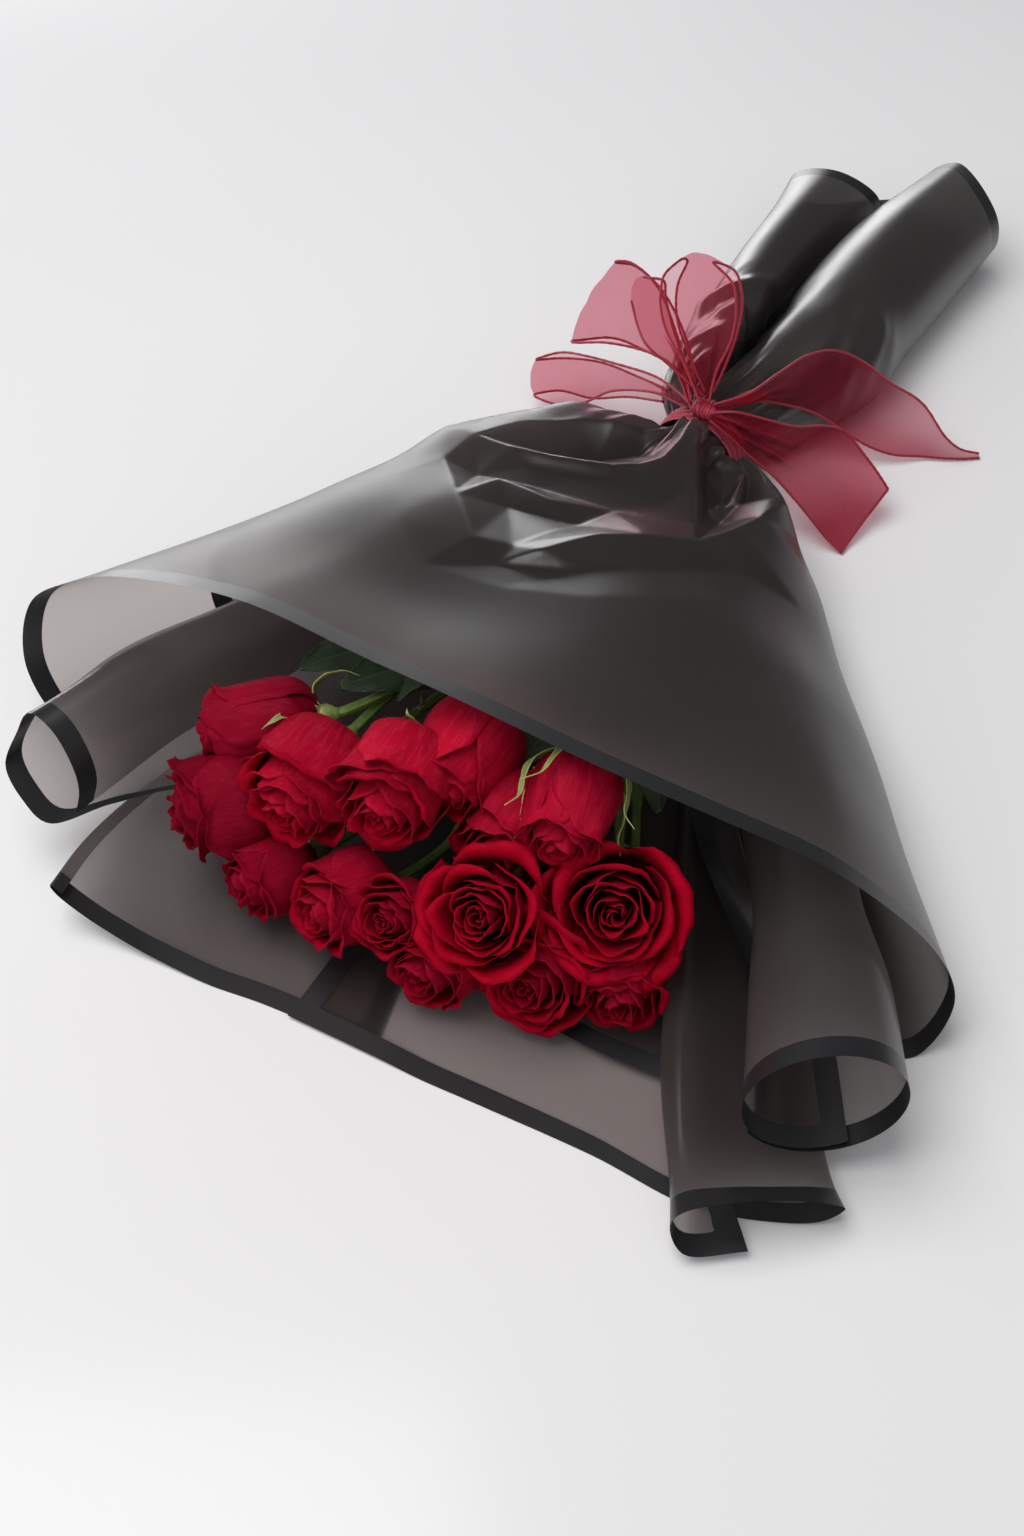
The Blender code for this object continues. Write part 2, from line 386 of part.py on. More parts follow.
# ---------------------------------------------------------------- the ribbon: stations of its two edges
RIBBON_EDGES = {
    "bow_loop_upper": (
        ((7, -24, 66), (11, -21, 66)), ((-8, -14, 80), (9, -10, 78)), ((-24, -6, 93), (10, 5, 90)), ((-33, 5, 106), (5, 19, 104)),
        ((-35, 17, 116), (-5, 29, 114)), ((-31, 25, 121), (-16, 32, 120)), ((-30, 30, 117), (-8, 38, 115)), ((-30, 20, 104), (2, 33, 102)),
        ((-22, 6, 90), (8, 18, 88)), ((-8, -4, 76), (9, 2, 75)), ((6, -16, 68), (10, -14, 68))),
    "bow_loop_left": (
        ((2, -24, 65), (5, -28, 63)), ((-24, 7, 84), (-22, -3, 70)), ((-45, 23, 98), (-44, 6, 66)), ((-62, 27, 104), (-67, 9, 62)),
        ((-76, 29, 102), (-91, 12, 55)), ((-66, 36, 98), (-76, 24, 54)), ((-44, 31, 90), (-50, 18, 58)), ((-20, 14, 76), (-22, 5, 62)), ((0, -14, 66), (0, -18, 63))),
    "bow_loop_inner": (
        ((4, -18, 67), (8, -19, 67)), ((-19, 0, 82), (-18, -13, 76)), ((-32, 12, 96), (-33, -9, 81)), ((-39, 18, 106), (-47, 4, 85)), ((-53, 20, 105), (-58, 17, 90))),
    "bow_loop_low": (
        ((0, -19, 60), (-2, -18, 56)), ((-28, 0, 56), (-34, 2, 44)), ((-54, 9, 50), (-63, 9, 30)), ((-79, 16, 44), (-78, 9, 18)),
        ((-104, 21, 36), (-97, 9, 10)), ((-119, 19, 28), (-116, 12, 9)), ((-110, 27, 27), (-106, 20, 10)), ((-82, 27, 34), (-80, 19, 14)), ((-50, 17, 40), (-54, 15, 26)), ((-24, 3, 48), (-26, 2, 40))),
    "bow_tail_upper": (
        ((13, -19, 64), (15, -20, 61)), ((26, -8, 68), (24, 2, 56)), ((33, 23, 66), (36, 27, 44)), ((38, 50, 64), (48, 44, 32)), ((46, 69, 58), (62, 51, 22)),
        ((59, 79, 50), (76, 55, 14)), ((78, 78, 42), (90, 63, 7)), ((96, 81, 33), (104, 75, 3)), ((114, 78, 18), (116, 81, 2)), ((122, 84, 9), (124, 86, 1.5)), ((131, 92, 4), (132, 92, 1.2))),
    "bow_tail_lower": (
        ((14, -22, 61), (14, -25, 58)), ((27, -22, 66), (26, -25, 52)), ((41, -15, 62), (38, -23, 42)), ((55, -5, 56), (53, -23, 34)), ((65, 11, 50), (67, -26, 26)),
        ((74, 21, 44), (78, -28, 18)), ((88, 21, 32), (87, -27, 9)), ((104, 17, 18), (97, -26, 1.5))),
}


KNOT = np.array([8.0, -18.0, 59.0])        # the knot's centre
KNOT_SIZE = np.array([15.0, 12.0, 11.0])


def ribbon(name, nu, nv):
    """A strip between its two edges, nu across and nv along, a little hollow across."""
    p = np.array(RIBBON_EDGES[name], float)
    d = np.linalg.norm(np.diff(p.mean(1), axis=0), axis=1)
    t = np.concatenate([[0], np.cumsum(d)])
    e = hermite(t, p, slopes(t, p), np.linspace(0, t[-1], nv))
    k = np.linspace(0, 1, nu)[:, None, None]
    return np.swapaxes(e[None, :, 0] * (1 - k) + e[None, :, 1] * k, 0, 1)


# ---------------------------------------------------------------- the leaves: base, tip, half width, tilt of the blade
LEAVES = {
    "leaf_1": ((8, -262, 72), (-26, -322, 86), 15, 0.5),
    "leaf_2": ((23, -258, 82), (4, -322, 91), 14, -0.4),
    "leaf_3": ((63, -264, 79), (66, -328, 84), 12, 0.3),
    "leaf_4": ((110, -258, 72), (130, -322, 86), 14, -0.5),
    "leaf_5": ((-28, -258, 60), (-58, -308, 72), 13, 0.4),
}


def leaf(name, nu, nv):
    """A pointed oval blade, folded a little along its midrib and arched along its length: (nv, nu, 3)."""
    a, b, half, tilt = LEAVES[name]
    a, b = np.array(a, float), np.array(b, float)
    d = b - a
    length = np.linalg.norm(d)
    d /= length
    side = np.cross(d, (0, 0, 1.0))
    side /= np.linalg.norm(side)
    up = np.cross(side, d)
    side, up = side * math.cos(tilt) + up * math.sin(tilt), up * math.cos(tilt) - side * math.sin(tilt)
    v = np.linspace(0, 1, nv)[:, None, None]
    u = np.linspace(-1, 1, nu)[None, :, None]
    w = half * (np.sin(math.pi * (0.04 + 0.94 * v) ** 0.85)) ** 0.8
    return a + d * length * v + side * w * u + up * (0.22 * w * np.abs(u) + length * 0.10 * np.sin(math.pi * v))


# ---------------------------------------------------------------- Blender objects
def material(kind):
    name = kind + "_material"
    m = bpy.data.materials.get(name)
    if m is None:
        colour, rough, metal = COLOURS[kind]
        m = bpy.data.materials.new(name)
        m.use_nodes = True
        b = m.node_tree.nodes["Principled BSDF"]
        b.inputs["Base Color"].default_value = colour
        b.inputs["Roughness"].default_value = rough
        b.inputs["Metallic"].default_value = metal
        m.diffuse_color = colour
    return m


def place(points):
    return (np.asarray(points, float) - ORIGIN) * 0.001


def add(name, data, kind, smooth=True):
    obj = bpy.data.objects.new(name, data)
    PARTS.objects.link(obj)
    data.materials.append(material(kind))
    if smooth and isinstance(data, bpy.types.Mesh):
        data.shade_smooth()
    return obj


def surface(name, grid, kind, thickness):
    """A sheet: the grid's faces, given their thickness by a Solidify modifier."""
    nv, nu = grid.shape[:2]
    bm = bmesh.new()
    verts = [[bm.verts.new(place(grid[j, i])) for i in range(nu)] for j in range(nv)]
    for j in range(nv - 1):
        for i in range(nu - 1):
            bm.faces.new((verts[j][i], verts[j][i + 1], verts[j + 1][i + 1], verts[j + 1][i]))
    bmesh.ops.triangulate(bm, faces=bm.faces[:], quad_method="SHORT_EDGE")
    mesh = bpy.data.meshes.new(name)
    bm.to_mesh(mesh)
    bm.free()
    obj = add(name, mesh, kind)
    mod = obj.modifiers.new("thickness", "SOLIDIFY")
    mod.thickness = thickness * 0.001
    mod.offset = 0.0
    return obj


def turned(name, profile, kind, at, axis, steps):
    """A solid turned about Z from a profile of (radius, height) that runs down its outer side."""
    mesh = bpy.data.meshes.new(name)
    pts = [(r * 0.001, 0, h * 0.001) for r, h in profile]
    mesh.from_pydata(pts, [(i, i + 1) for i in range(len(pts) - 1)], [])
    obj = add(name, mesh, kind)
    mod = obj.modifiers.new("turn", "SCREW")
    mod.steps = mod.render_steps = steps
    mod.use_merge_vertices = True
    mod.merge_threshold = 0.00005
    obj.location = place(at)
    obj.rotation_mode = "QUATERNION"
    obj.rotation_quaternion = Vector(axis).to_track_quat("Z", "Y")
    return obj


def tube(name, points, radius, kind):
    curve = bpy.data.curves.new(name, "CURVE")
    curve.dimensions = "3D"
    curve.bevel_depth = radius * 0.001
    curve.bevel_resolution = 1
    curve.use_fill_caps = True
    spl = curve.splines.new("POLY")
    spl.points.add(len(points) - 1)
    for p, q in zip(spl.points, place(points)):
        p.co = (*q, 1)
    return add(name, curve, kind)


def head_distance(a, b):
    """Least distance between the cores of two heads."""
    s = np.linspace(0.3, 0.8, 15)[:, None]
    p = a["base"] + a["d"] * a["length"] * s
    q = b["base"] + b["d"] * b["length"] * s
    return float(np.linalg.norm(p[:, None] - q[None], axis=2).min())


def pressed_radius(heads):
    """The radius of each head's solid: heads pressed together are narrower than when free."""
    out = []
    for h in heads:
        share = min((head_distance(h, o) - 1.5) / (h["r"] + o["r"]) for o in heads if o is not h)
        low = min(h["base"][2], h["tip"][2]) * 0.35 + max(h["base"][2], h["tip"][2]) * 0.65
        out.append(min(h["r"] * min(share, 0.96), low - 8.5))
    return out


for old in list(bpy.data.objects):
    bpy.data.objects.remove(old, do_unlink=True)
PARTS = bpy.data.collections.new("wrapped_rose_bunch")
bpy.context.scene.collection.children.link(PARTS)

# film sheets: places across each section, and the longest step along the sheet
for name, (nu, step) in {"top_sheet": (27, 60.0), "left_inner_sheet": (30, 70.0), "right_inner_sheet": (22, 70.0),
                         "right_back_sheet": (30, 70.0), "left_back_sheet": (11, 80.0), "handle_sheet": (25, 60.0)}.items():
    surface(name, SHEETS[name](nu, step), "film", FILM)

heads = roses()
for h, r in zip(heads, pressed_radius(heads)):
    n = h["length"]
    profile = [(0, n * 0.93), (r * 0.5, n * 0.95), (r * 0.86, n * 0.84), (r, n * 0.62), (r * 0.92, n * 0.38),
               (r * 0.55, n * 0.14), (min(4.5, r * 0.4), 0), (0, 0)]
    turned(h["name"], profile, "petal", h["base"], h["d"], 10)
for h, line in zip(heads, stems()):
    few = [0, 1] + list(range(3, len(line) - 10, 3)) + [len(line) - k for k in (10, 9, 6, 5, 4, 3, 2, 1)]
    tube(h["name"].replace("rose", "stem"), line[few], STEM_R, "stem")
for name in LEAVES:
    surface(name, leaf(name, 5, 7), "leaf", 0.6)

# the tie round the stems, and the ribbon's band over the sheets
for name, r0, r1, half, kind, steps in (("stem_tie", 13.1, 14.2, 3.0, "tie", 24), ("ribbon_band", 24.6, 25.8, 8.5, "ribbon", 32)):
    obj = turned(name, [(r0, half), (r1, half), (r1, -half), (r0, -half), (r0, half)], kind, WAIST, (0, 1, 0), steps)

# the knot, and the bow's loops and tails
bm = bmesh.new()
bmesh.ops.create_uvsphere(bm, u_segments=12, v_segments=8, radius=1.0)
bmesh.ops.scale(bm, vec=KNOT_SIZE * 0.0005, verts=bm.verts)
mesh = bpy.data.meshes.new("ribbon_knot")
bm.to_mesh(mesh)
bm.free()
add("ribbon_knot", mesh, "ribbon").location = place(KNOT)
for name, n in {"bow_loop_upper": 14, "bow_loop_left": 12, "bow_loop_inner": 8, "bow_loop_low": 13, "bow_tail_upper": 14, "bow_tail_lower": 11}.items():
    surface(name, ribbon(name, 3, n), "ribbon", 0.6)
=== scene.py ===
"""How a wrapped bunch of red roses looks: its film sheets, ribbon bow, rose heads, sepals, stems and leaves.

Every piece stands for a CAD node. Sizes are in millimetres in the sheets' own coordinates, as in the CAD:
the bunch lies along Y, heads towards -Y, and ORIGIN is the middle of its base.
"""

import math
import random

import bmesh
import bpy
import numpy as np
from mathutils import Matrix, Vector
from mathutils.geometry import delaunay_2d_cdt


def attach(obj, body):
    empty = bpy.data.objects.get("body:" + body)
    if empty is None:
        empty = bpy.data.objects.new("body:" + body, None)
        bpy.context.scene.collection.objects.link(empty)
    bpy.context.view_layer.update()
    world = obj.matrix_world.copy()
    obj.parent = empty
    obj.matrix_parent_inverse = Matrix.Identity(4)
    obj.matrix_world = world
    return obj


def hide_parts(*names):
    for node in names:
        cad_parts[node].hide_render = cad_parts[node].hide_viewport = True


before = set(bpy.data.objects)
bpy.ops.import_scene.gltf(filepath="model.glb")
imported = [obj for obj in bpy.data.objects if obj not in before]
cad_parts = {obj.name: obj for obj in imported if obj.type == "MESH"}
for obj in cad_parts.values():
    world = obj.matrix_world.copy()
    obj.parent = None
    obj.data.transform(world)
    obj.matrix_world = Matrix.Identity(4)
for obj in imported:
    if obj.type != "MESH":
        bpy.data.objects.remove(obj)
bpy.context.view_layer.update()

ORIGIN = np.array([31.38, -60.52, 0.05])

# ---------------------------------------------------------------- driving dimensions, mm
WAIST = (4.0, -15.0, 27.0)   # centre of the gathered waist
STEM_R = 2.3                 # stem radius
STEM_PITCH = 5.2             # spacing of the stems where they are tied
FILM = 0.7                   # thickness of a film sheet's solid
TABLE = 0.4                  # height of the middle of a sheet that lies on the table
WAIST_R = {"right_inner_sheet": 15.4, "left_inner_sheet": 17.0, "right_back_sheet": 18.6,
           "left_back_sheet": 20.2, "handle_sheet": 21.8, "top_sheet": 23.4}


# ---------------------------------------------------------------- curves and lofts
def spline(points, n, corner=()):
    """A smooth curve through the points, at n places evenly spaced along it."""
    p = np.asarray(points, float)
    d = np.linalg.norm(np.diff(p, axis=0), axis=1) ** 0.5
    t = np.concatenate([[0], np.cumsum(np.maximum(d, 1e-6))])
    m = slopes(t, p)
    fine = np.linspace(0, t[-1], max(40 * len(p), 4 * n))
    c = hermite(t, p, m, fine)
    s = np.concatenate([[0], np.cumsum(np.linalg.norm(np.diff(c, axis=0), axis=1))])
    want = np.linspace(0, s[-1], n)
    return np.stack([np.interp(want, s, c[:, k]) for k in range(3)], 1)


def places(points, n):
    """Where n points evenly spaced along a curve lie, counted in its own points."""
    p = np.asarray(points, float)
    t = np.arange(len(p), dtype=float)
    fine = np.linspace(0, len(p) - 1, 40 * len(p))
    c = hermite(t, p, slopes(t, p), fine)
    s = np.concatenate([[0], np.cumsum(np.linalg.norm(np.diff(c, axis=0), axis=1))])
    return np.interp(np.linspace(0, s[-1], n), s, fine)


def along(points, at):
    """A smooth curve through the points, at places counted in its own points."""
    p = np.asarray(points, float)
    t = np.arange(len(p), dtype=float)
    return hermite(t, p, slopes(t, p), at)


def slopes(t, p):
    """Tangents of a curve through unevenly spaced values."""
    h = np.diff(t).reshape((-1,) + (1,) * (p.ndim - 1))
    d = np.diff(p, axis=0) / h
    m = np.empty_like(p)
    m[0], m[-1] = d[0], d[-1]
    m[1:-1] = (d[:-1] * h[1:] + d[1:] * h[:-1]) / (h[1:] + h[:-1])
    return m


def hermite(t, p, m, at):
    at = np.clip(at, t[0], t[-1])
    i = np.clip(np.searchsorted(t, at, side="right") - 1, 0, len(t) - 2)
    shape = (-1,) + (1,) * (p.ndim - 1)
    h = (t[i + 1] - t[i]).reshape(shape)
    s = ((at - t[i]) / (t[i + 1] - t[i])).reshape(shape)
    return ((2 * s**3 - 3 * s**2 + 1) * p[i] + (s**3 - 2 * s**2 + s) * h * m[i]
            + (-2 * s**3 + 3 * s**2) * p[i + 1] + (s**3 - s**2) * h * m[i + 1])


def arc(y, cx, cz, rx, rz, a0, a1, n, turn=0.0, lean=0.0):
    """A cross-section: an arc of an ellipse, angles in degrees from straight down, growing towards -X.
    turn draws the end of the arc inwards, as in a scroll."""
    a = np.radians(np.linspace(a0, a1, n))
    k = 1 - turn * np.linspace(0, 1, n) ** 2
    return np.stack([cx - rx * k * np.sin(a), y + lean * np.sin(a), cz - rz * k * np.cos(a)], 1)


def loft(rows, step):
    """A surface through the rows, with further rows between them wherever they are over step mm apart: (nv, nu, 3)."""
    p = np.asarray(rows, float)
    mid = np.linalg.norm(np.diff(p, axis=0), axis=2).mean(1)
    t = np.concatenate([[0], np.cumsum(mid)])
    at = [0.0]
    for k in range(len(mid)):
        n = max(1, int(math.ceil(mid[k] / step)))
        at += list(t[k] + (t[k + 1] - t[k]) * np.arange(1, n + 1) / n)
    q = hermite(t, p, slopes(t, p), np.array(at))
    q[..., 2] = np.maximum(q[..., 2], TABLE)
    return q


def ring(name, y, a0, a1, n, grow=0.0, dx=0.0):
    """A sheet's section at the waist, y from the waist's centre."""
    r = WAIST_R[name] + grow
    return arc(WAIST[1] + y, WAIST[0] + dx, WAIST[2], r, r, a0, a1, n)


def scroll(y, flap, cx, cz, rx, rz, a0, a1, n, turn):
    """A section that runs along the flap's points and then into a roll."""
    a = arc(y, cx, cz, rx, rz, a0, a1, 12, turn)
    return spline([(x, y, z) for x, z in flap] + [tuple(q) for q in a], n)


# ---------------------------------------------------------------- the film sheets
def top_sheet(nu, step):
    """Arches over the roses; its sides curl under; past the waist it is the handle's left fold."""
    s = lambda *p: spline(p, nu)
    rows = [
        s((-160, -338, 1.6), (-186, -337, 0.4), (-204, -335, 30), (-196, -330, 70), (-172, -324, 88), (-150, -321, 98), (-75, -324, 116), (10, -338, 125),
          (91, -346, 127), (165, -341, 118), (215, -327, 97), (250, -310, 58), (263, -308, 26), (256, -321, 1.6), (238, -334, 0.4)),
        s((-138, -284, 1.4), (-160, -284, 0.4), (-176, -283, 28), (-170, -278, 62), (-140, -275, 90), (-70, -276, 108), (5, -284, 114),
          (78, -288, 116), (140, -284, 108), (185, -272, 90), (214, -262, 55), (226, -258, 25), (220, -266, 1.6), (202, -276, 0.4)),
        s((-114, -228, 1.6), (-134, -228, 0.6), (-150, -226, 28), (-146, -224, 56), (-118, -222, 85), (-60, -222, 100), (0, -227, 104),
          (60, -228, 104), (115, -224, 96), (155, -215, 78), (180, -208, 50), (190, -205, 24), (182, -210, 2), (164, -218, 0.8)),
        s((-88, -172, 3), (-110, -172, 3), (-124, -172, 26), (-120, -172, 52), (-104, -172, 79), (-52, -172, 90), (0, -172, 93),
          (48, -172, 92), (88, -168, 82), (118, -158, 64), (138, -148, 42), (146, -146, 22), (141, -148, 5), (122, -156, 1.8)),
        s((-62, -122, 4), (-82, -122, 3), (-96, -122, 24), (-97, -123, 50), (-92, -124, 75), (-52, -124, 77), (-10, -120, 77),
          (28, -118, 75), (60, -112, 70), (86, -100, 58), (102, -92, 38), (108, -90, 22), (104, -92, 6), (88, -100, 2.2)),
        s((-44, -74, 5), (-58, -74, 5), (-72, -74, 20), (-78, -73, 40), (-74, -70, 60), (-44, -70, 62), (-10, -66, 63),
          (20, -66, 63), (46, -66, 61), (68, -66, 56), (80, -66, 40), (84, -68, 24), (78, -70, 8), (62, -72, 3.5)),
        s((-34, -46, 7), (-44, -46, 9), (-54, -46, 20), (-59, -46, 36), (-56, -44, 52), (-38, -42, 60), (-14, -40, 61),
          (9, -41, 62), (28, -42, 58), (46, -42, 52), (56, -46, 40), (58, -48, 26), (50, -48, 11), (38, -48, 6)),
        *(ring("top_sheet", y, 50 + (y + 9) * 1.67, 320 - (y + 9) * 7.2, nu) for y in (-9, -6, -3, 0, 3, 6, 9)),
        s((-24, 30, 10), (-31, 30, 17), (-35, 30, 27), (-34, 30, 40), (-29, 30, 50), (-23, 30, 55), (-17, 30, 57), (-12, 30, 57), (-8.5, 30, 55.5), (-6.5, 30, 52.5)),
        s((-24, 90, 3), (-38, 90, 5), (-45, 90, 17), (-47, 90, 31), (-43, 90, 45), (-34, 90, 54), (-23, 90, 56), (-14, 90, 51), (-10, 90, 40), (-10.5, 90, 28)),
        s((-36, 160, 3), (-48, 160, 5), (-56, 160, 16), (-58, 160, 28), (-54, 160, 42), (-44, 160, 51), (-31, 160, 53), (-20, 160, 46), (-15, 160, 34), (-16, 160, 20)),
        s((-46, 225, 3), (-56, 226, 5), (-63, 226, 16), (-64, 226, 27), (-60, 224, 39), (-50, 222, 48), (-36, 222, 51), (-23, 224, 44), (-15, 228, 31), (-15, 230, 17)),
        s((-58, 282, 3), (-66, 281, 7), (-70, 280, 16), (-71, 278, 27), (-68, 276, 36), (-58, 274, 44), (-38, 272, 49), (-23, 276, 44), (-12, 284, 32), (-11, 292, 16)),
    ]
    return loft(rows, step)


def left_inner_sheet(nu, step):
    """Its left side rolled into an open tube, its flat part under the roses."""
    s = lambda *p: spline(p, nu)
    rows = [
        s((-117.5, -405, 34), (-116, -402, 46), (-118, -401, 60), (-129, -398, 74), (-143, -396, 76), (-147, -401, 67), (-152, -408, 50), (-141, -413, 38), (-128, -413, 29),
          (-113, -386, 25), (-92, -354, 15), (-46, -350, 7), (16, -364, 5.5), (80, -382, 5.5), (135, -388, 5.5), (178, -386, 5.5)),
        s((-105.5, -352, 36), (-103, -350, 48), (-106, -348, 62), (-116, -346, 74), (-130, -345, 76), (-139, -347, 68), (-140, -350, 52), (-132, -353, 38), (-118, -352, 27),
          (-103, -344, 19), (-82, -327, 10.5), (-37, -326, 6.2), (18, -336, 5.5), (72, -338, 5.5), (124, -340, 5.5), (164, -340, 5.5)),
        s((-85.5, -285, 36), (-83, -284, 48), (-86, -283, 60), (-95, -282, 70), (-108, -282, 72), (-117, -283, 64), (-119, -284, 50), (-112, -285, 37), (-99, -285, 27),
          (-85, -284, 19), (-66, -282, 10.5), (-30, -282, 6.5), (15, -282, 5.5), (60, -282, 5.5), (103, -282, 5.5), (134, -282, 6.5)),
        s((-64, -205, 38), (-60, -205, 46), (-64, -205, 55), (-72, -205, 61), (-82, -205, 62), (-91, -205, 56), (-93, -205, 46), (-88, -205, 35), (-78, -205, 26),
          (-66, -205, 19), (-50, -205, 12), (-24, -205, 8), (8, -205, 7), (40, -205, 7), (70, -205, 8), (94, -205, 10)),
        s((-42, -120, 44), (-39, -120, 48), (-42, -120, 52), (-48, -120, 56), (-55, -120, 56), (-61, -120, 51), (-62, -120, 43), (-58, -120, 33), (-52, -120, 25),
          (-44, -120, 19), (-33, -120, 14), (-16, -120, 10.5), (6, -120, 9.6), (26, -120, 10), (44, -120, 12.5), (57, -120, 18)),
        s((-27, -50, 50), (-28, -50, 50), (-30, -50, 49), (-31.5, -50, 46), (-32, -50, 42), (-31.5, -50, 37), (-30, -50, 31.5), (-27.5, -50, 26), (-24, -50, 20.5),
          (-19, -50, 16), (-13, -50, 13), (-4, -50, 11), (6, -50, 11), (15, -50, 13.2), (22.5, -50, 18), (27.5, -50, 26)),
        ring("left_inner_sheet", -9, 130, -70, nu),
        ring("left_inner_sheet", 9, 130, -70, nu),
        ring("left_inner_sheet", 42, 125, -65, nu, 0.6, 3),
    ]
    return loft(rows, step)


def right_inner_sheet(nu, step):
    """Rolled into the large round tube at the right; its flap opens towards the waist."""
    rows = [
        arc(-398, 240, 49.5, 27, 31.5, 60, -385, nu, 0.10, -18),
        arc(-345, 216, 50, 27, 29.5, 62, -375, nu, 0.10, -10),
        scroll(-280, ((130, 34), (140, 38)), 177, 51, 27, 28, 80, -350, nu, 0.10),
        scroll(-200, ((84, 31), (92, 33)), 121, 47, 23, 21, 74, -320, nu, 0.12),
        arc(-120, 49, 38, 10, 15.5, 25, -270, nu, 0.2),
        arc(-62, 6, 31, 19, 18.5, -20, -160, nu),
        ring("right_inner_sheet", -9, -20, -155, nu),
        ring("right_inner_sheet", 9, -20, -155, nu),
        ring("right_inner_sheet", 40, -20, -150, nu, 0.5, 3),
    ]
    return loft(rows, step)


def right_back_sheet(nu, step):
    """Flat on the table in front; its right side rolled over into a flattened tube."""
    s = lambda *p: spline(p, nu)
    rows = [
        s((13, -434, 1.9), (58, -434, 1.6), (80, -434, 0.5), (110, -433, 0.4), (160, -432, 0.4), (205, -434, 0.4), (238, -424, 0.8), (255, -416, 4), (261, -412, 12), (254, -420, 22), (236, -434, 29),
          (221, -446, 31), (209, -454, 27), (205, -457, 18), (213, -459, 7), (234, -444.5, 5)),
        s((12, -398, 1.9), (52, -398, 1.6), (74, -398, 0.5), (102, -398, 0.4), (148, -398, 0.4), (188, -398, 0.4), (216, -392, 0.8), (234, -386, 3.6), (240, -384, 8), (232, -388, 11.5), (214, -396, 12),
          (197, -402, 20), (184, -406, 27), (177, -407, 19), (182, -408, 10), (198, -404, 9)),
        s((10, -340, 1.9), (44, -340, 1.7), (66, -340, 0.6), (90, -340, 0.5), (130, -340, 0.5), (164, -340, 0.5), (190, -338, 0.9), (205, -336, 3.6), (211, -335, 8), (204, -337, 11.5), (186, -340, 14),
          (168, -342, 24), (155, -343, 28), (148, -343, 20), (153, -343, 11), (168, -342, 9)),
        s((6, -270, 2.6), (34, -270, 2.4), (52, -270, 2.0), (70, -270, 1.8), (104, -270, 1.8), (133, -270, 1.8), (155, -270, 2.2), (167, -270, 4), (172, -270, 8), (166, -270, 12), (151, -270, 16),
          (134, -270, 25), (123, -270, 28), (117, -270, 21), (121, -270, 13), (133, -270, 10)),
        s((0, -190, 4.6), (24, -190, 4.2), (36, -190, 4.1), (48, -190, 4), (72, -190, 4), (93, -190, 4.4), (108, -190, 6), (117, -190, 10), (119, -190, 16), (114, -190, 20), (103, -190, 20.5),
          (93, -190, 25), (86, -190, 27), (83, -190, 23), (87, -190, 17.5), (94, -190, 15)),
        s((-8, -115, 7.6), (8, -115, 7), (16, -115, 6.9), (24, -115, 7), (40, -115, 8), (53, -115, 10.5), (63, -115, 14), (69, -115, 18.5), (71.5, -115, 22), (72, -115, 24), (72, -115, 25.5),
          (71.5, -115, 27), (71, -115, 28.2), (70.5, -115, 29.4), (70, -115, 30.4), (69.5, -115, 31.2)),
        s((-12, -50, 9.6), (-4, -50, 8.8), (0, -50, 8.7), (5, -50, 8.9), (13, -50, 10.4), (20, -50, 13.4), (26, -50, 18), (29.5, -50, 23), (31, -50, 28), (31.2, -50, 31), (31, -50, 33.5),
          (30.6, -50, 35.5), (30, -50, 37.5), (29.3, -50, 39.5), (28.5, -50, 41.2), (27.6, -50, 43)),
        ring("right_back_sheet", -9, 30, -130, nu),
        ring("right_back_sheet", 9, 30, -130, nu),
        ring("right_back_sheet", 44, 30, -125, nu, 0.7, 3),
    ]
    return loft(rows, step)


def left_back_sheet(nu, step):
    """Flat on the table in front, folded up at the left."""
    s = lambda *p: spline(p, nu)
    rows = [
        s((-100, -440, 23), (-106, -440, 26), (-103, -440, 22), (-90, -439, 14), (-74, -438, 8), (-52, -437, 3), (-27, -436, 0.6), (0, -433, 0.4), (30, -432, 0.4), (56, -432, 0.4)),
        s((-107, -408, 19), (-113, -409, 22), (-110, -409, 18), (-96, -408, 10.5), (-78, -407, 5.5), (-54, -406, 2), (-30, -404, 0.4), (0, -402, 0.4), (28, -401, 0.4), (48, -400, 0.4)),
        s((-109, -369, 14), (-115, -370, 16), (-111, -370, 12.5), (-96, -369, 6.5), (-78, -368, 3.4), (-56, -367, 1.4), (-32, -367, 0.4), (-6, -366, 0.4), (20, -366, 0.4), (40, -365, 0.4)),
        s((-94, -300, 8.5), (-100, -300, 9.5), (-97, -300, 7), (-84, -300, 4), (-68, -300, 2.4), (-50, -300, 1.2), (-30, -300, 0.6), (-8, -300, 0.4), (14, -300, 0.4), (32, -300, 0.4)),
        s((-64, -200, 10), (-71, -200, 11.5), (-73, -200, 10), (-69, -200, 7), (-61, -200, 5), (-46, -200, 3.3), (-28, -200, 2.6), (-10, -200, 2.4), (6, -200, 2.3), (20, -200, 2.3)),
        s((-49, -115, 18), (-51, -115, 16), (-50, -115, 13.5), (-46, -115, 11.5), (-40, -115, 9.4), (-31, -115, 7.2), (-21, -115, 5.6), (-10, -115, 5), (0, -115, 4.8), (10, -115, 4.8)),
        s((-33, -50, 23), (-31.5, -50, 19.4), (-29, -50, 16.2), (-25.5, -50, 13.4), (-21, -50, 11), (-15, -50, 8.7), (-9, -50, 7.2), (-3, -50, 6.5), (3, -50, 6.4), (9, -50, 6.8)),
        ring("left_back_sheet", -9, 72, -25, nu),
        ring("left_back_sheet", 9, 66, -25, nu),
        ring("left_back_sheet", 38, 45, -25, nu, 0.8, 3),
    ]
    return loft(rows, step)


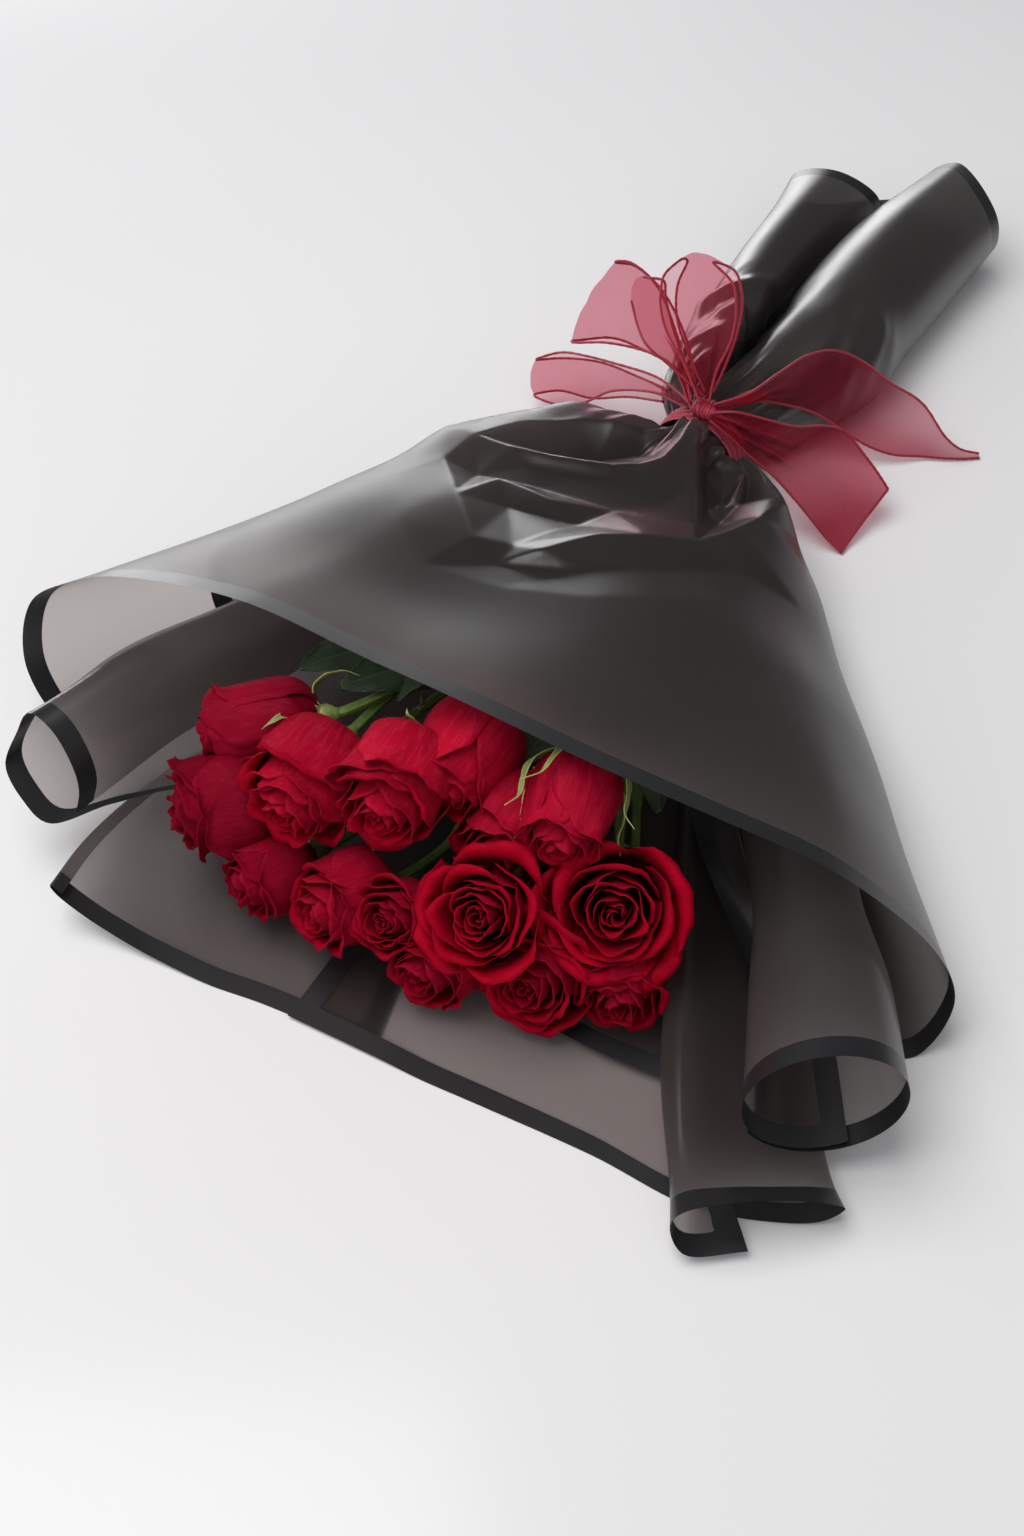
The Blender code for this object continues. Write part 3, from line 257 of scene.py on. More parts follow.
def handle_sheet(nu, step):
    """A second arch under the top sheet; past the waist it flares on the table at the left and rolls into the
    large right tube of the handle."""
    s = lambda *p: spline(p, nu)

    def hoop(y):
        share = np.linspace(0, 1, nu)
        a = np.radians(np.interp(share, (0, 0.24, 1), (60, 76, 305)))
        r = WAIST_R["handle_sheet"]
        return np.stack([WAIST[0] - r * np.sin(a), np.full(nu, WAIST[1] + y), WAIST[2] - r * np.cos(a)], 1)

    last = ((-74, 300, 5), (-68, 306, 2.5), (-56, 312, 0.6), (-34, 330, 0.5), (-16, 338, 3), (-4, 332, 12), (4, 322, 26), (10, 317, 40), (22, 310, 52),
            (35, 300, 59), (54, 280, 60), (68, 275, 47), (72, 276, 33), (68, 285, 16), (56, 290, 2), (40, 292, 0.4))
    k = places(last, nu)
    s2 = lambda *p: along(p, k)
    rows = [
        s((-145, -250, 10), (-151, -252, 32), (-148, -252, 60), (-125, -250, 83), (-62, -250, 98), (4, -254, 103), (68, -256, 104), (128, -250, 96), (168, -244, 79), (194, -238, 50), (202, -236, 26), (197, -240, 8)),
        s((-101, -172, 9), (-113, -172, 30), (-112, -172, 54), (-99, -172, 74), (-50, -172, 85), (0, -172, 88), (46, -172, 87), (85, -168, 77), (113, -158, 60), (132, -148, 41), (140, -146, 22), (134, -148, 8)),
        s((-78, -122, 6), (-91, -122, 24), (-92, -122, 48), (-86, -122, 70), (-50, -122, 72), (-10, -119, 72), (26, -117, 70), (57, -111, 65), (81, -100, 54), (97, -92, 37), (103, -90, 22), (98, -92, 9)),
        s((-56, -74, 9), (-67, -74, 20), (-73, -73, 39), (-69, -70, 55), (-43, -70, 57.5), (-10, -66, 58.5), (19, -66, 58.5), (44, -66, 57), (65, -66, 51), (75, -66, 39), (79, -68, 24), (72, -70, 12)),
        s((-40, -46, 17), (-47.5, -46, 26), (-52, -46, 38), (-51, -44, 48), (-36, -43, 55.5), (-14, -42, 56.5), (8, -42, 57), (26, -43, 53.5), (42, -43, 47.5), (51, -46, 38), (53, -48, 26), (46, -48, 15)),
        hoop(-9), hoop(0), hoop(9),
        s2((-30, 42, 4), (-27, 42, 2.2), (-22, 42, 1.2), (-14, 42, 0.8), (-9, 42, 1.2), (-11.5, 42, 12), (-12.5, 42, 26), (-9, 42, 40), (2, 42, 49), (16, 42, 52), (30, 42, 48), (40, 42, 37), (43, 42, 26), (41, 42, 14), (33, 42, 5), (24, 42, 2)),
        s2((-62, 100, 11), (-60, 100, 5), (-48, 100, 0.6), (-20, 100, 0.4), (4, 100, 0.8), (1, 100, 14), (-3.5, 100, 30), (0, 100, 46), (12, 100, 58), (30, 100, 63), (48, 100, 58), (60, 100, 44), (63.5, 100, 28), (60, 100, 12), (48, 100, 1.4), (36, 100, 0.4)),
        s2((-64, 150, 12), (-62, 150, 5), (-50, 150, 0.6), (-20, 150, 0.4), (2, 150, 0.8), (-2, 150, 12), (-9, 150, 30), (-4, 150, 46), (10, 150, 58), (29, 150, 63), (48, 150, 58), (61, 150, 44), (65.5, 150, 28), (62, 150, 12), (50, 150, 1.4), (36, 150, 0.4)),
        s2((-70, 215, 9), (-66, 215, 4), (-54, 215, 0.6), (-26, 215, 0.4), (0, 215, 0.8), (-4, 216, 12), (-9, 217, 28), (-4, 217, 44), (10, 216, 56), (30, 214, 62), (50, 213, 58), (63, 213, 45), (68, 214, 29), (65, 216, 13), (54, 218, 1.4), (38, 219, 0.4)),
        s2(*last),
    ]
    return loft(rows, step)


SHEETS = {"top_sheet": top_sheet, "left_inner_sheet": left_inner_sheet, "right_inner_sheet": right_inner_sheet,
          "right_back_sheet": right_back_sheet, "left_back_sheet": left_back_sheet, "handle_sheet": handle_sheet}


# ---------------------------------------------------------------- the roses: opening, direction, length, radius, openness
ROSES = {
    "01": ((-76, -364, 66), (-0.86, -0.50, -0.22), 58, 18, 0.35),
    "02": ((-77, -388, 40), (-0.75, -0.62, -0.15), 46, 21, 0.6),
    "03": ((-12, -392, 70), (0.02, -0.98, -0.08), 52, 23, 0.75),
    "04": ((32, -385, 84), (0.16, -0.97, -0.08), 50, 23, 0.8),
    "05": ((52, -358, 88), (0.16, -0.98, -0.06), 50, 24, 0.3),
    "06": ((85, -399, 70), (0.12, -0.72, 0.64), 46, 28, 1.0),
    "07": ((109, -367, 92), (0.32, -0.93, -0.12), 52, 24, 0.5),
    "08": ((135, -370, 70), (0.32, -0.70, 0.62), 46, 30, 1.0),
    "09": ((7, -410, 40), (-0.35, -0.86, 0.24), 44, 21, 0.6),
    "10": ((43, -407, 52), (-0.05, -0.80, 0.56), 38, 15, 0.5),
    "11": ((61, -412, 28), (-0.12, -0.96, 0.10), 44, 20, 0.7),
    "12": ((107, -399, 34), (0.10, -0.90, 0.30), 42, 25, 0.9),
    "13": ((-36, -406, 26), (-0.45, -0.88, 0.02), 44, 18, 0.6),
    "14": ((144, -384, 27), (0.34, -0.94, 0.02), 42, 17, 0.6),
    "15": ((76, -365, 68), (0.04, -0.98, 0.06), 46, 20, 0.5),
}


def roses():
    out = []
    for name, (tip, d, length, r, opening) in ROSES.items():
        tip, d = np.array(tip, float), np.array(d, float)
        d /= np.linalg.norm(d)
        u = np.cross(d, (0, 0, 1.0))
        u /= np.linalg.norm(u)
        out.append(dict(name="rose_" + name, tip=tip, d=d, base=tip - d * length, length=length, r=r, open=opening, u=u, v=np.cross(u, d)))
    return out


def stem_slots():
    """Fifteen places in a hexagonal packing round the waist's centre."""
    found = []
    for i in range(-3, 4):
        for j in range(-3, 4):
            found.append((STEM_PITCH * (i + 0.5 * j), STEM_PITCH * math.sqrt(0.75) * j))
    found.sort(key=lambda p: (round(math.hypot(*p), 3), round(math.atan2(p[1], p[0]), 3)))
    return found[:len(ROSES)]


def stems():
    """Each stem's centre line, from its rose to its cut end; none touches another."""
    heads = roses()
    want = np.array([((h["base"][0] - 40) * 0.09, (h["base"][2] - 50) * 0.26) for h in heads])
    slots = np.array(stem_slots())
    pick = list(range(len(heads)))
    better = True
    while better:
        better = False
        for i in range(len(pick)):
            for j in range(i + 1, len(pick)):
                now = ((slots[pick[i]] - want[i]) ** 2).sum() + ((slots[pick[j]] - want[j]) ** 2).sum()
                new = ((slots[pick[j]] - want[i]) ** 2).sum() + ((slots[pick[i]] - want[j]) ** 2).sum()
                if new < now - 1e-9:
                    pick[i], pick[j] = pick[j], pick[i]
                    better = True
    ys = np.concatenate([np.linspace(-330, -45, 20), [-30, -15, 0, 14]])
    n = len(ys)
    lines = np.zeros((len(heads), n, 2))
    for i, h in enumerate(heads):
        b = h["base"] - h["d"] * 6
        end = np.array([WAIST[0] + slots[pick[i]][0], -32.0, WAIST[2] + slots[pick[i]][1]])
        run = end[1] - b[1]
        k = min(90.0, 0.35 * run)
        t = np.array([0, 1.0])
        m0, m1 = -h["d"] * k * 2.2, np.array([0, run * 0.9, 0])
        s = np.linspace(0, 1, 80)[:, None]
        c = ((2 * s**3 - 3 * s**2 + 1) * b + (s**3 - 2 * s**2 + s) * m0 + (-2 * s**3 + 3 * s**2) * end + (s**3 - s**2) * m1)
        yy = np.maximum.accumulate(c[:, 1])
        lines[i, :, 0] = np.interp(ys, yy, c[:, 0])
        lines[i, :, 1] = np.interp(ys, yy, c[:, 2])
        lines[i, ys >= -31] = end[[0, 2]]
        h["start"] = b[1]
    gap = 2 * STEM_R + 0.9
    for _ in range(120):
        for k in range(n):
            if ys[k] >= -31:
                continue
            for i in range(len(heads)):
                if ys[k] < heads[i]["start"] - 4:
                    continue
                for j in range(i + 1, len(heads)):
                    if ys[k] < heads[j]["start"] - 4:
                        continue
                    d = lines[i, k] - lines[j, k]
                    if math.hypot(*d) < 2.5:   # two that would cross: one passes over the other
                        d = d + (0, 1.5)
                    r = math.hypot(*d)
                    if r < gap:
                        d = d / r if r > 1e-6 else np.array([1.0, 0])
                        lines[i, k] += d * (gap - r) / 2
                        lines[j, k] -= d * (gap - r) / 2
        low = np.interp(ys, (-330, -110, -31), (15, 20.5, 16.2))
        lines[:, :, 1] = np.maximum(lines[:, :, 1], low + np.where(ys > -31, 0, 0.14) * np.maximum(lines[:, :, 0] - 12, 0))
        smooth = lines.copy()
        smooth[:, 1:-1] = 0.25 * lines[:, :-2] + 0.5 * lines[:, 1:-1] + 0.25 * lines[:, 2:]
        fixed = (ys >= -31) | (ys <= ys[0])
        lines = np.where(fixed[None, :, None], lines, 0.8 * lines + 0.2 * smooth)
    back = [(40, 9.0, 29.0), (70, 18.0, 30.5), (110, 25.0, 31.5), (150, 29.0, 31.5), (188, 31.0, 31.5)]
    out = []
    for i, h in enumerate(heads):
        b = h["base"] - h["d"] * 0.6
        pts = [tuple(b), tuple(h["base"] - h["d"] * 6)]
        for k in range(n):
            if ys[k] > h["base"][1] - h["d"][1] * 6 + 14:
                pts.append((lines[i, k, 0], ys[k], lines[i, k, 1]))
        off = slots[pick[i]]
        for y, cx, cz in back:
            g = 1.0 + 0.04 * (y - 14) / 100
            last = y + (5.0 * math.sin(i * 2.4) if y > 180 else 0)
            pts.append((cx + off[0] * g, last, cz + off[1] * g))
        out.append(np.array(pts))
    return out


# ---------------------------------------------------------------- the ribbon: stations of its two edges
RIBBON_EDGES = {
    "bow_loop_upper": (
        ((7, -24, 66), (11, -21, 66)), ((-8, -14, 80), (9, -10, 78)), ((-24, -6, 93), (10, 5, 90)), ((-33, 5, 106), (5, 19, 104)),
        ((-35, 17, 116), (-5, 29, 114)), ((-31, 25, 121), (-16, 32, 120)), ((-30, 30, 117), (-8, 38, 115)), ((-30, 20, 104), (2, 33, 102)),
        ((-22, 6, 90), (8, 18, 88)), ((-8, -4, 76), (9, 2, 75)), ((6, -16, 68), (10, -14, 68))),
    "bow_loop_left": (
        ((2, -24, 65), (5, -28, 63)), ((-24, 7, 84), (-22, -3, 70)), ((-45, 23, 98), (-44, 6, 66)), ((-62, 27, 104), (-67, 9, 62)),
        ((-76, 29, 102), (-91, 12, 55)), ((-66, 36, 98), (-76, 24, 54)), ((-44, 31, 90), (-50, 18, 58)), ((-20, 14, 76), (-22, 5, 62)), ((0, -14, 66), (0, -18, 63))),
    "bow_loop_inner": (
        ((4, -18, 67), (8, -19, 67)), ((-19, 0, 82), (-18, -13, 76)), ((-32, 12, 96), (-33, -9, 81)), ((-39, 18, 106), (-47, 4, 85)), ((-53, 20, 105), (-58, 17, 90))),
    "bow_loop_low": (
        ((0, -19, 60), (-2, -18, 56)), ((-28, 0, 56), (-34, 2, 44)), ((-54, 9, 50), (-63, 9, 30)), ((-79, 16, 44), (-78, 9, 18)),
        ((-104, 21, 36), (-97, 9, 10)), ((-119, 19, 28), (-116, 12, 9)), ((-110, 27, 27), (-106, 20, 10)), ((-82, 27, 34), (-80, 19, 14)), ((-50, 17, 40), (-54, 15, 26)), ((-24, 3, 48), (-26, 2, 40))),
    "bow_tail_upper": (
        ((13, -19, 64), (15, -20, 61)), ((26, -8, 68), (24, 2, 56)), ((33, 23, 66), (36, 27, 44)), ((38, 50, 64), (48, 44, 32)), ((46, 69, 58), (62, 51, 22)),
        ((59, 79, 50), (76, 55, 14)), ((78, 78, 42), (90, 63, 7)), ((96, 81, 33), (104, 75, 3)), ((114, 78, 18), (116, 81, 2)), ((122, 84, 9), (124, 86, 1.5)), ((131, 92, 4), (132, 92, 1.2))),
    "bow_tail_lower": (
        ((14, -22, 61), (14, -25, 58)), ((27, -22, 66), (26, -25, 52)), ((41, -15, 62), (38, -23, 42)), ((55, -5, 56), (53, -23, 34)), ((65, 11, 50), (67, -26, 26)),
        ((74, 21, 44), (78, -28, 18)), ((88, 21, 32), (87, -27, 9)), ((104, 17, 18), (97, -26, 1.5))),
}


KNOT = np.array([8.0, -18.0, 59.0])        # the knot's centre
KNOT_SIZE = np.array([15.0, 12.0, 11.0])


def ribbon(name, nu, nv):
    """A strip between its two edges, nu across and nv along."""
    p = np.array(RIBBON_EDGES[name], float)
    d = np.linalg.norm(np.diff(p.mean(1), axis=0), axis=1)
    t = np.concatenate([[0], np.cumsum(d)])
    e = hermite(t, p, slopes(t, p), np.linspace(0, t[-1], nv))
    k = np.linspace(0, 1, nu)[:, None, None]
    return np.swapaxes(e[None, :, 0] * (1 - k) + e[None, :, 1] * k, 0, 1)


# ---------------------------------------------------------------- the leaves: base, tip, half width, tilt of the blade
LEAVES = {
    "leaf_1": ((8, -262, 72), (-26, -322, 86), 15, 0.5),
    "leaf_2": ((23, -258, 82), (4, -322, 91), 14, -0.4),
    "leaf_3": ((63, -264, 79), (66, -328, 84), 12, 0.3),
    "leaf_4": ((110, -258, 72), (130, -322, 86), 14, -0.5),
    "leaf_5": ((-28, -258, 60), (-58, -308, 72), 13, 0.4),
}


def leaf(name, nu, nv):
    """A pointed oval blade, folded a little along its midrib and arched along its length: (nv, nu, 3)."""
    a, b, half, tilt = LEAVES[name]
    a, b = np.array(a, float), np.array(b, float)
    d = b - a
    length = np.linalg.norm(d)
    d /= length
    side = np.cross(d, (0, 0, 1.0))
    side /= np.linalg.norm(side)
    up = np.cross(side, d)
    side, up = side * math.cos(tilt) + up * math.sin(tilt), up * math.cos(tilt) - side * math.sin(tilt)
    v = np.linspace(0, 1, nv)[:, None, None]
    u = np.linspace(-1, 1, nu)[None, :, None]
    w = half * (np.sin(math.pi * (0.04 + 0.94 * v) ** 0.85)) ** 0.8
    return a + d * length * v + side * w * u + up * (0.22 * w * np.abs(u) + length * 0.10 * np.sin(math.pi * v))


# ---------------------------------------------------------------- meshes
def place(points):
    return (np.asarray(points, float) - ORIGIN) * 0.001


class Build:
    """Gathers vertices, faces, material numbers, UVs and point values of one piece."""

    def __init__(self):
        self.v, self.f, self.m, self.uv, self.value = [], [], [], [], []
        self.n = 0

    def grid(self, g, mat=0, uv=None, value=None, wrap=False, flip=False):
        """A grid of points, (nv, nu, 3), joined up; wrap closes it across."""
        g = np.asarray(g, float)
        nv, nu = g.shape[:2]
        k = np.arange(nv * nu).reshape(nv, nu) + self.n
        right = np.roll(k, -1, axis=1) if wrap else k[:, 1:]
        left = k if wrap else k[:, :-1]
        quads = np.stack([left[:-1], right[:-1], right[1:], left[1:]], -1).reshape(-1, 4)
        if flip:
            quads = quads[:, ::-1]
        self.f.append(quads)
        self.m.append(np.full(len(quads), mat))
        self.v.append(g.reshape(-1, 3))
        if uv is None:
            a, b = np.meshgrid(np.linspace(0, 1, nu), np.linspace(0, 1, nv))
            uv = np.stack([a, b], -1)
        self.uv.append(np.asarray(uv, float).reshape(-1, 2))
        self.value.append(np.zeros(nv * nu) if value is None else np.broadcast_to(value, (nv, nu)).reshape(-1))
        self.n += nv * nu
        return k

    def tube(self, line, radius, mat=0, sides=8, value=0.0, cap=True):
        """A round tube along a line, radius a number or one for each point."""
        line = np.asarray(line, float)
        r = np.broadcast_to(radius, len(line))
        t = np.gradient(line, axis=0)
        t /= np.linalg.norm(t, axis=1, keepdims=True) + 1e-12
        up = np.array([0.0, 0, 1]) if abs(t[0][2]) < 0.9 else np.array([1.0, 0, 0])
        a = np.cross(t[0], up)
        rows = []
        for k in range(len(line)):
            a = a - t[k] * (a @ t[k])
            a /= np.linalg.norm(a) + 1e-12
            b = np.cross(t[k], a)
            w = np.linspace(0, 2 * math.pi, sides, endpoint=False)
            rows.append(line[k] + r[k] * (np.cos(w)[:, None] * a + np.sin(w)[:, None] * b))
        k = self.grid(rows, mat, value=value, wrap=True)
        if cap:
            for ring in (k[0][::-1], k[-1]):
                self.f.append(np.array([list(ring)]))
                self.m.append(np.array([mat]))

    def object(self, name, mats, plies_and_shade=None):
        v = place(np.concatenate(self.v))
        faces = [f for block in self.f for f in block.tolist()]
        mesh = bpy.data.meshes.new(name)
        mesh.from_pydata(v.tolist(), [], faces)
        mesh.polygons.foreach_set("material_index", np.concatenate(self.m).astype(np.int32))
        uv = np.concatenate(self.uv)
        loops = np.empty(len(mesh.loops), np.int32)
        mesh.loops.foreach_get("vertex_index", loops)
        layer = mesh.uv_layers.new(name="UVMap")
        layer.data.foreach_set("uv", uv[loops].astype(np.float32).ravel())
        value = mesh.attributes.new("mark", "FLOAT", "POINT")
        value.data.foreach_set("value", np.concatenate(self.value).astype(np.float32))
        if plies_and_shade is not None:
            value = mesh.attributes.new("plies_and_shade", "FLOAT", "POINT")
            value.data.foreach_set("value", np.asarray(plies_and_shade, np.float32).ravel())
        mesh.shade_smooth()
        mesh.update()
        for m in mats:
            mesh.materials.append(m)
        obj = bpy.data.objects.new(name, mesh)
        bpy.context.scene.collection.objects.link(obj)
        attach(obj, "root")
        return obj


def thick(obj, mm, offset=0.0, other=0, rim=0):
    mod = obj.modifiers.new("thickness", "SOLIDIFY")
    mod.thickness = mm * 0.001
    mod.offset = offset
    mod.material_offset = other
    mod.material_offset_rim = rim
    return mod


# ---------------------------------------------------------------- materials
class Net:
    """A short way to write a node material."""

    def __init__(self, name):
        self.mat = bpy.data.materials.new(name)
        self.mat.use_nodes = True
        self.t = self.mat.node_tree
        self.t.nodes.clear()
        self.out = self.t.nodes.new("ShaderNodeOutputMaterial")

    def add(self, kind, out=0, _set=(), **inputs):
        n = self.t.nodes.new("ShaderNode" + kind)
        for k, v in dict(_set).items():
            setattr(n, k, v)
        for k, v in inputs.items():
            k = int(k[1:]) if k[0] == "_" and k[1:].isdigit() else k.replace("_", " ")
            if isinstance(v, bpy.types.NodeSocket):
                self.t.links.new(v, n.inputs[k])
            else:
                n.inputs[k].default_value = v
        return n.outputs[out]

    def math(self, op, a, b=0.0, c=0.0, clamp=False):
        return self.add("Math", _0=a, _1=b, _2=c, _set={"operation": op, "use_clamp": clamp})

    def mix(self, fac, a, b):
        n = self.t.nodes.new("ShaderNodeMix")
        n.data_type = "RGBA"
        for i, v in ((0, fac), (6, a), (7, b)):
            if isinstance(v, bpy.types.NodeSocket):
                self.t.links.new(v, n.inputs[i])
            else:
                n.inputs[i].default_value = v
        return n.outputs[2]

    def ramp(self, fac, low, high, a=0.0, b=1.0, smooth=True):
        n = self.t.nodes.new("ShaderNodeMapRange")
        n.interpolation_type = "SMOOTHSTEP" if smooth else "LINEAR"
        self.t.links.new(fac, n.inputs["Value"])
        for k, v in (("From Min", low), ("From Max", high), ("To Min", a), ("To Max", b)):
            n.inputs[k].default_value = v
        return n.outputs[0]

    def noise(self, scale, detail=3.0, rough=0.5, vector=None, distortion=0.0):
        n = self.t.nodes.new("ShaderNodeTexNoise")
        n.inputs["Scale"].default_value = scale
        n.inputs["Detail"].default_value = detail
        n.inputs["Roughness"].default_value = rough
        n.inputs["Distortion"].default_value = distortion
        self.t.links.new(vector if vector is not None else self.coord("Object"), n.inputs["Vector"])
        return n.outputs[0]

    def coord(self, which):
        return self.add("TexCoord").node.outputs[which]

    def attribute(self, name="mark"):
        n = self.t.nodes.new("ShaderNodeAttribute")
        n.attribute_name = name
        return n.outputs["Fac"]

    def bump(self, height, strength, distance):
        return self.add("Bump", Height=height, Strength=strength, Distance=distance)

    def done(self, shader):
        self.t.links.new(shader, self.out.inputs["Surface"])
        return self.mat


def film_material():
    """Frosted grey film with a printed black border; mark is the distance in mm from the sheet's nearest cut edge,
    and the second point value how much less light comes through there: film rolled round more than once, and painted
    shade on the top sheet's right side."""
    n = Net("film_look")
    cloud = n.noise(9.0, 4.0, 0.55)
    fine = n.noise(420.0, 2.0, 0.6)
    bump = n.bump(n.math("ADD", n.noise(60.0, 3.0, 0.5), n.math("MULTIPLY", fine, 0.05)), 0.08, 0.0012)
    rough = n.ramp(cloud, 0.3, 0.7, 0.280, 0.315)
    slant = n.math("POWER", n.add("LayerWeight", 1, Blend=0.5), 3.0)
    # second point value: film rolled round more than once, and painted shade on the top sheet's right side
    plies_and_shade = n.attribute("plies_and_shade")
    body = n.add("BsdfPrincipled", Base_Color=n.mix(cloud, (0.019, 0.0155, 0.0155, 1), (0.029, 0.0245, 0.024, 1)), Roughness=rough, Normal=bump,
                 Specular_IOR_Level=0.85)
    haze = n.add("BsdfTranslucent", Color=n.mix(cloud, (0.60, 0.545, 0.53, 1), (0.68, 0.625, 0.61, 1)), Normal=bump)
    clear = n.add("BsdfTransparent", Color=(0.84, 0.80, 0.79, 1))
    through = n.add("MixShader", _0=0.30, _1=haze, _2=clear)
    share = n.math("MULTIPLY", n.math("MULTIPLY", n.math("SUBTRACT", 1.0, slant), 0.68), n.math("SUBTRACT", 1.0, n.math("MULTIPLY", plies_and_shade, 0.86)))
    sheet = n.add("MixShader", _0=share, _1=body, _2=through)
    ink = n.add("BsdfPrincipled", Base_Color=n.mix(cloud, (0.012, 0.0125, 0.014, 1), (0.020, 0.0205, 0.023, 1)), Roughness=n.ramp(cloud, 0.3, 0.7, 0.29, 0.36),
                Normal=bump, Specular_IOR_Level=0.5)
    edge = n.ramp(n.math("ADD", n.attribute(), n.math("MULTIPLY", n.math("SUBTRACT", n.noise(900.0, 1.0), 0.5), 0.12)), 9.85, 10.15, 1.0, 0.0)
    return n.done(n.add("MixShader", _0=edge, _1=sheet, _2=ink))


def petal_material(name, low, high, vein, back):
    """Velvety petal: mark is how much darker the petal is, painted shade in the heart and on heads in shadow with some
    random tone of its own; V runs from its base to its rim, U across it.
    """
    n = Net(name)
    uv = n.coord("UV")
    sep = n.add("SeparateXYZ", Vector=uv).node
    u, v = sep.outputs[0], sep.outputs[1]
    across = n.add("CombineXYZ", X=n.math("MULTIPLY", u, 17.0), Y=n.math("MULTIPLY", v, 2.4), Z=n.math("MULTIPLY", n.attribute(), 9.0))
    veins = n.noise(1.0, 4.0, 0.6, across, 0.6)
    lines = n.ramp(n.math("ABSOLUTE", n.math("SUBTRACT", veins, 0.5)), 0.0, 0.06, 1.0, 0.0)
    cloud = n.noise(140.0, 3.0, 0.6)
    # darker towards the petal's base: painted shade deep in the bloom
    shade = n.ramp(v, 0.15, 0.95)
    col = n.mix(shade, low, high)
    col = n.mix(n.math("MULTIPLY", lines, 0.20 if back else 0.12), col, vein)
    col = n.mix(n.math("MULTIPLY", n.ramp(cloud, 0.35, 0.7), 0.22), col, tuple(c * 0.55 for c in low[:3]) + (1,))
    # darker by mark: painted shade in the heart and on shaded heads, with random tone
    col = n.mix(n.math("MULTIPLY", n.attribute(), 0.75), col, (0.085, 0.0004, 0.009, 1))
    rim = n.ramp(v, 0.955, 1.0)
    col = n.mix(n.math("MULTIPLY", rim, 0.35), col, tuple(c * 0.45 for c in high[:3]) + (1,))
    height = n.math("ADD", n.math("MULTIPLY", lines, 0.6), n.noise(900.0, 2.0))
    bump = n.bump(height, 0.13 if back else 0.12, 0.0006)
    skin = n.add("BsdfPrincipled", Base_Color=col, Roughness=n.ramp(cloud, 0.3, 0.7, 0.44, 0.58), Normal=bump, Specular_IOR_Level=0.03, Sheen_Weight=0.045,
                 Sheen_Roughness=0.40, Sheen_Tint=(1.0, 0.10, 0.18, 1))
    glow = n.add("BsdfTranslucent", Color=(0.50, 0.002, 0.014, 1))
    return n.done(n.add("MixShader", _0=0.08, _1=skin, _2=glow))


def green_material(name, a, b, vein, scale, rough=0.45, dry=None):
    """Leaf, sepal or stem: mark runs from green to dry."""
    n = Net(name)
    uv = n.coord("UV")
    sep = n.add("SeparateXYZ", Vector=uv).node
    u, v = sep.outputs[0], sep.outputs[1]
    mid = n.math("ABSOLUTE", n.math("SUBTRACT", u, 0.5))
    cloud = n.noise(scale, 4.0, 0.6)
    col = n.mix(n.ramp(cloud, 0.3, 0.7), a, b)
    if vein is not None:
        wave = n.math("FRACT", n.math("SUBTRACT", n.math("MULTIPLY", v, 9.0), n.math("MULTIPLY", mid, 7.0)))
        rib = n.ramp(n.math("ABSOLUTE", n.math("SUBTRACT", wave, 0.5)), 0.40, 0.5)
        rib = n.math("MAXIMUM", n.math("MULTIPLY", rib, 0.6), n.ramp(mid, 0.012, 0.045, 1.0, 0.0))
        col = n.mix(n.math("MULTIPLY", rib, 0.5), col, vein)
        height = n.math("SUBTRACT", cloud, rib)
    else:
        height = cloud
        col = n.mix(n.ramp(mid, 0.36, 0.5, 0.0, 0.7), col, tuple(min(1, c * 1.9) for c in b[:3]) + (1,))
    if dry is not None:
        col = n.mix(n.attribute(), col, dry)
    return n.done(n.add("BsdfPrincipled", Base_Color=col, Roughness=n.ramp(cloud, 0.2, 0.8, rough - 0.06, rough + 0.08), Normal=n.bump(height, 0.35, 0.0005),
                        Specular_IOR_Level=0.4))


def ribbon_material():
    """Sheer organza: crossed threads, with the gaps between them letting the light through. UV in metres."""
    n = Net("organza_look")
    uv = n.coord("UV")
    sep = n.add("SeparateXYZ", Vector=uv).node
    thread = [n.math("ABSOLUTE", n.math("SINE", n.math("MULTIPLY", s, 2 * math.pi * 900.0))) for s in (sep.outputs[0], sep.outputs[1])]
    weave = n.math("MAXIMUM", thread[0], thread[1])
    cloud = n.noise(55.0, 4.0, 0.6)
    body = n.add("BsdfPrincipled", Base_Color=n.mix(cloud, (0.40, 0.010, 0.040, 1), (0.55, 0.020, 0.065, 1)), Roughness=n.ramp(cloud, 0.3, 0.7, 0.42, 0.5),
                 Normal=n.bump(weave, 0.12, 0.0002), Specular_IOR_Level=0.45, Sheen_Weight=0.5, Sheen_Roughness=0.35, Sheen_Tint=(1.0, 0.35, 0.45, 1))
    haze = n.add("BsdfTranslucent", Color=(0.62, 0.04, 0.09, 1))
    # painted shade: the tails get a darker, less see-through colour than the loops
    tail_shade = n.attribute("plies_and_shade")
    clear = n.add("BsdfTransparent", Color=n.mix(tail_shade, (0.94, 0.68, 0.73, 1), (0.50, 0.13, 0.18, 1)))
    cloth = n.add("MixShader", _0=0.35, _1=body, _2=haze)
    cover = n.math("ADD", n.math("MULTIPLY", weave, 0.06), n.math("ADD", n.math("MULTIPLY", cloud, 0.10), 0.07))
    cover = n.math("ADD", cover, n.math("MULTIPLY", tail_shade, 0.22))
    return n.done(n.add("MixShader", _0=cover, _1=clear, _2=cloth))


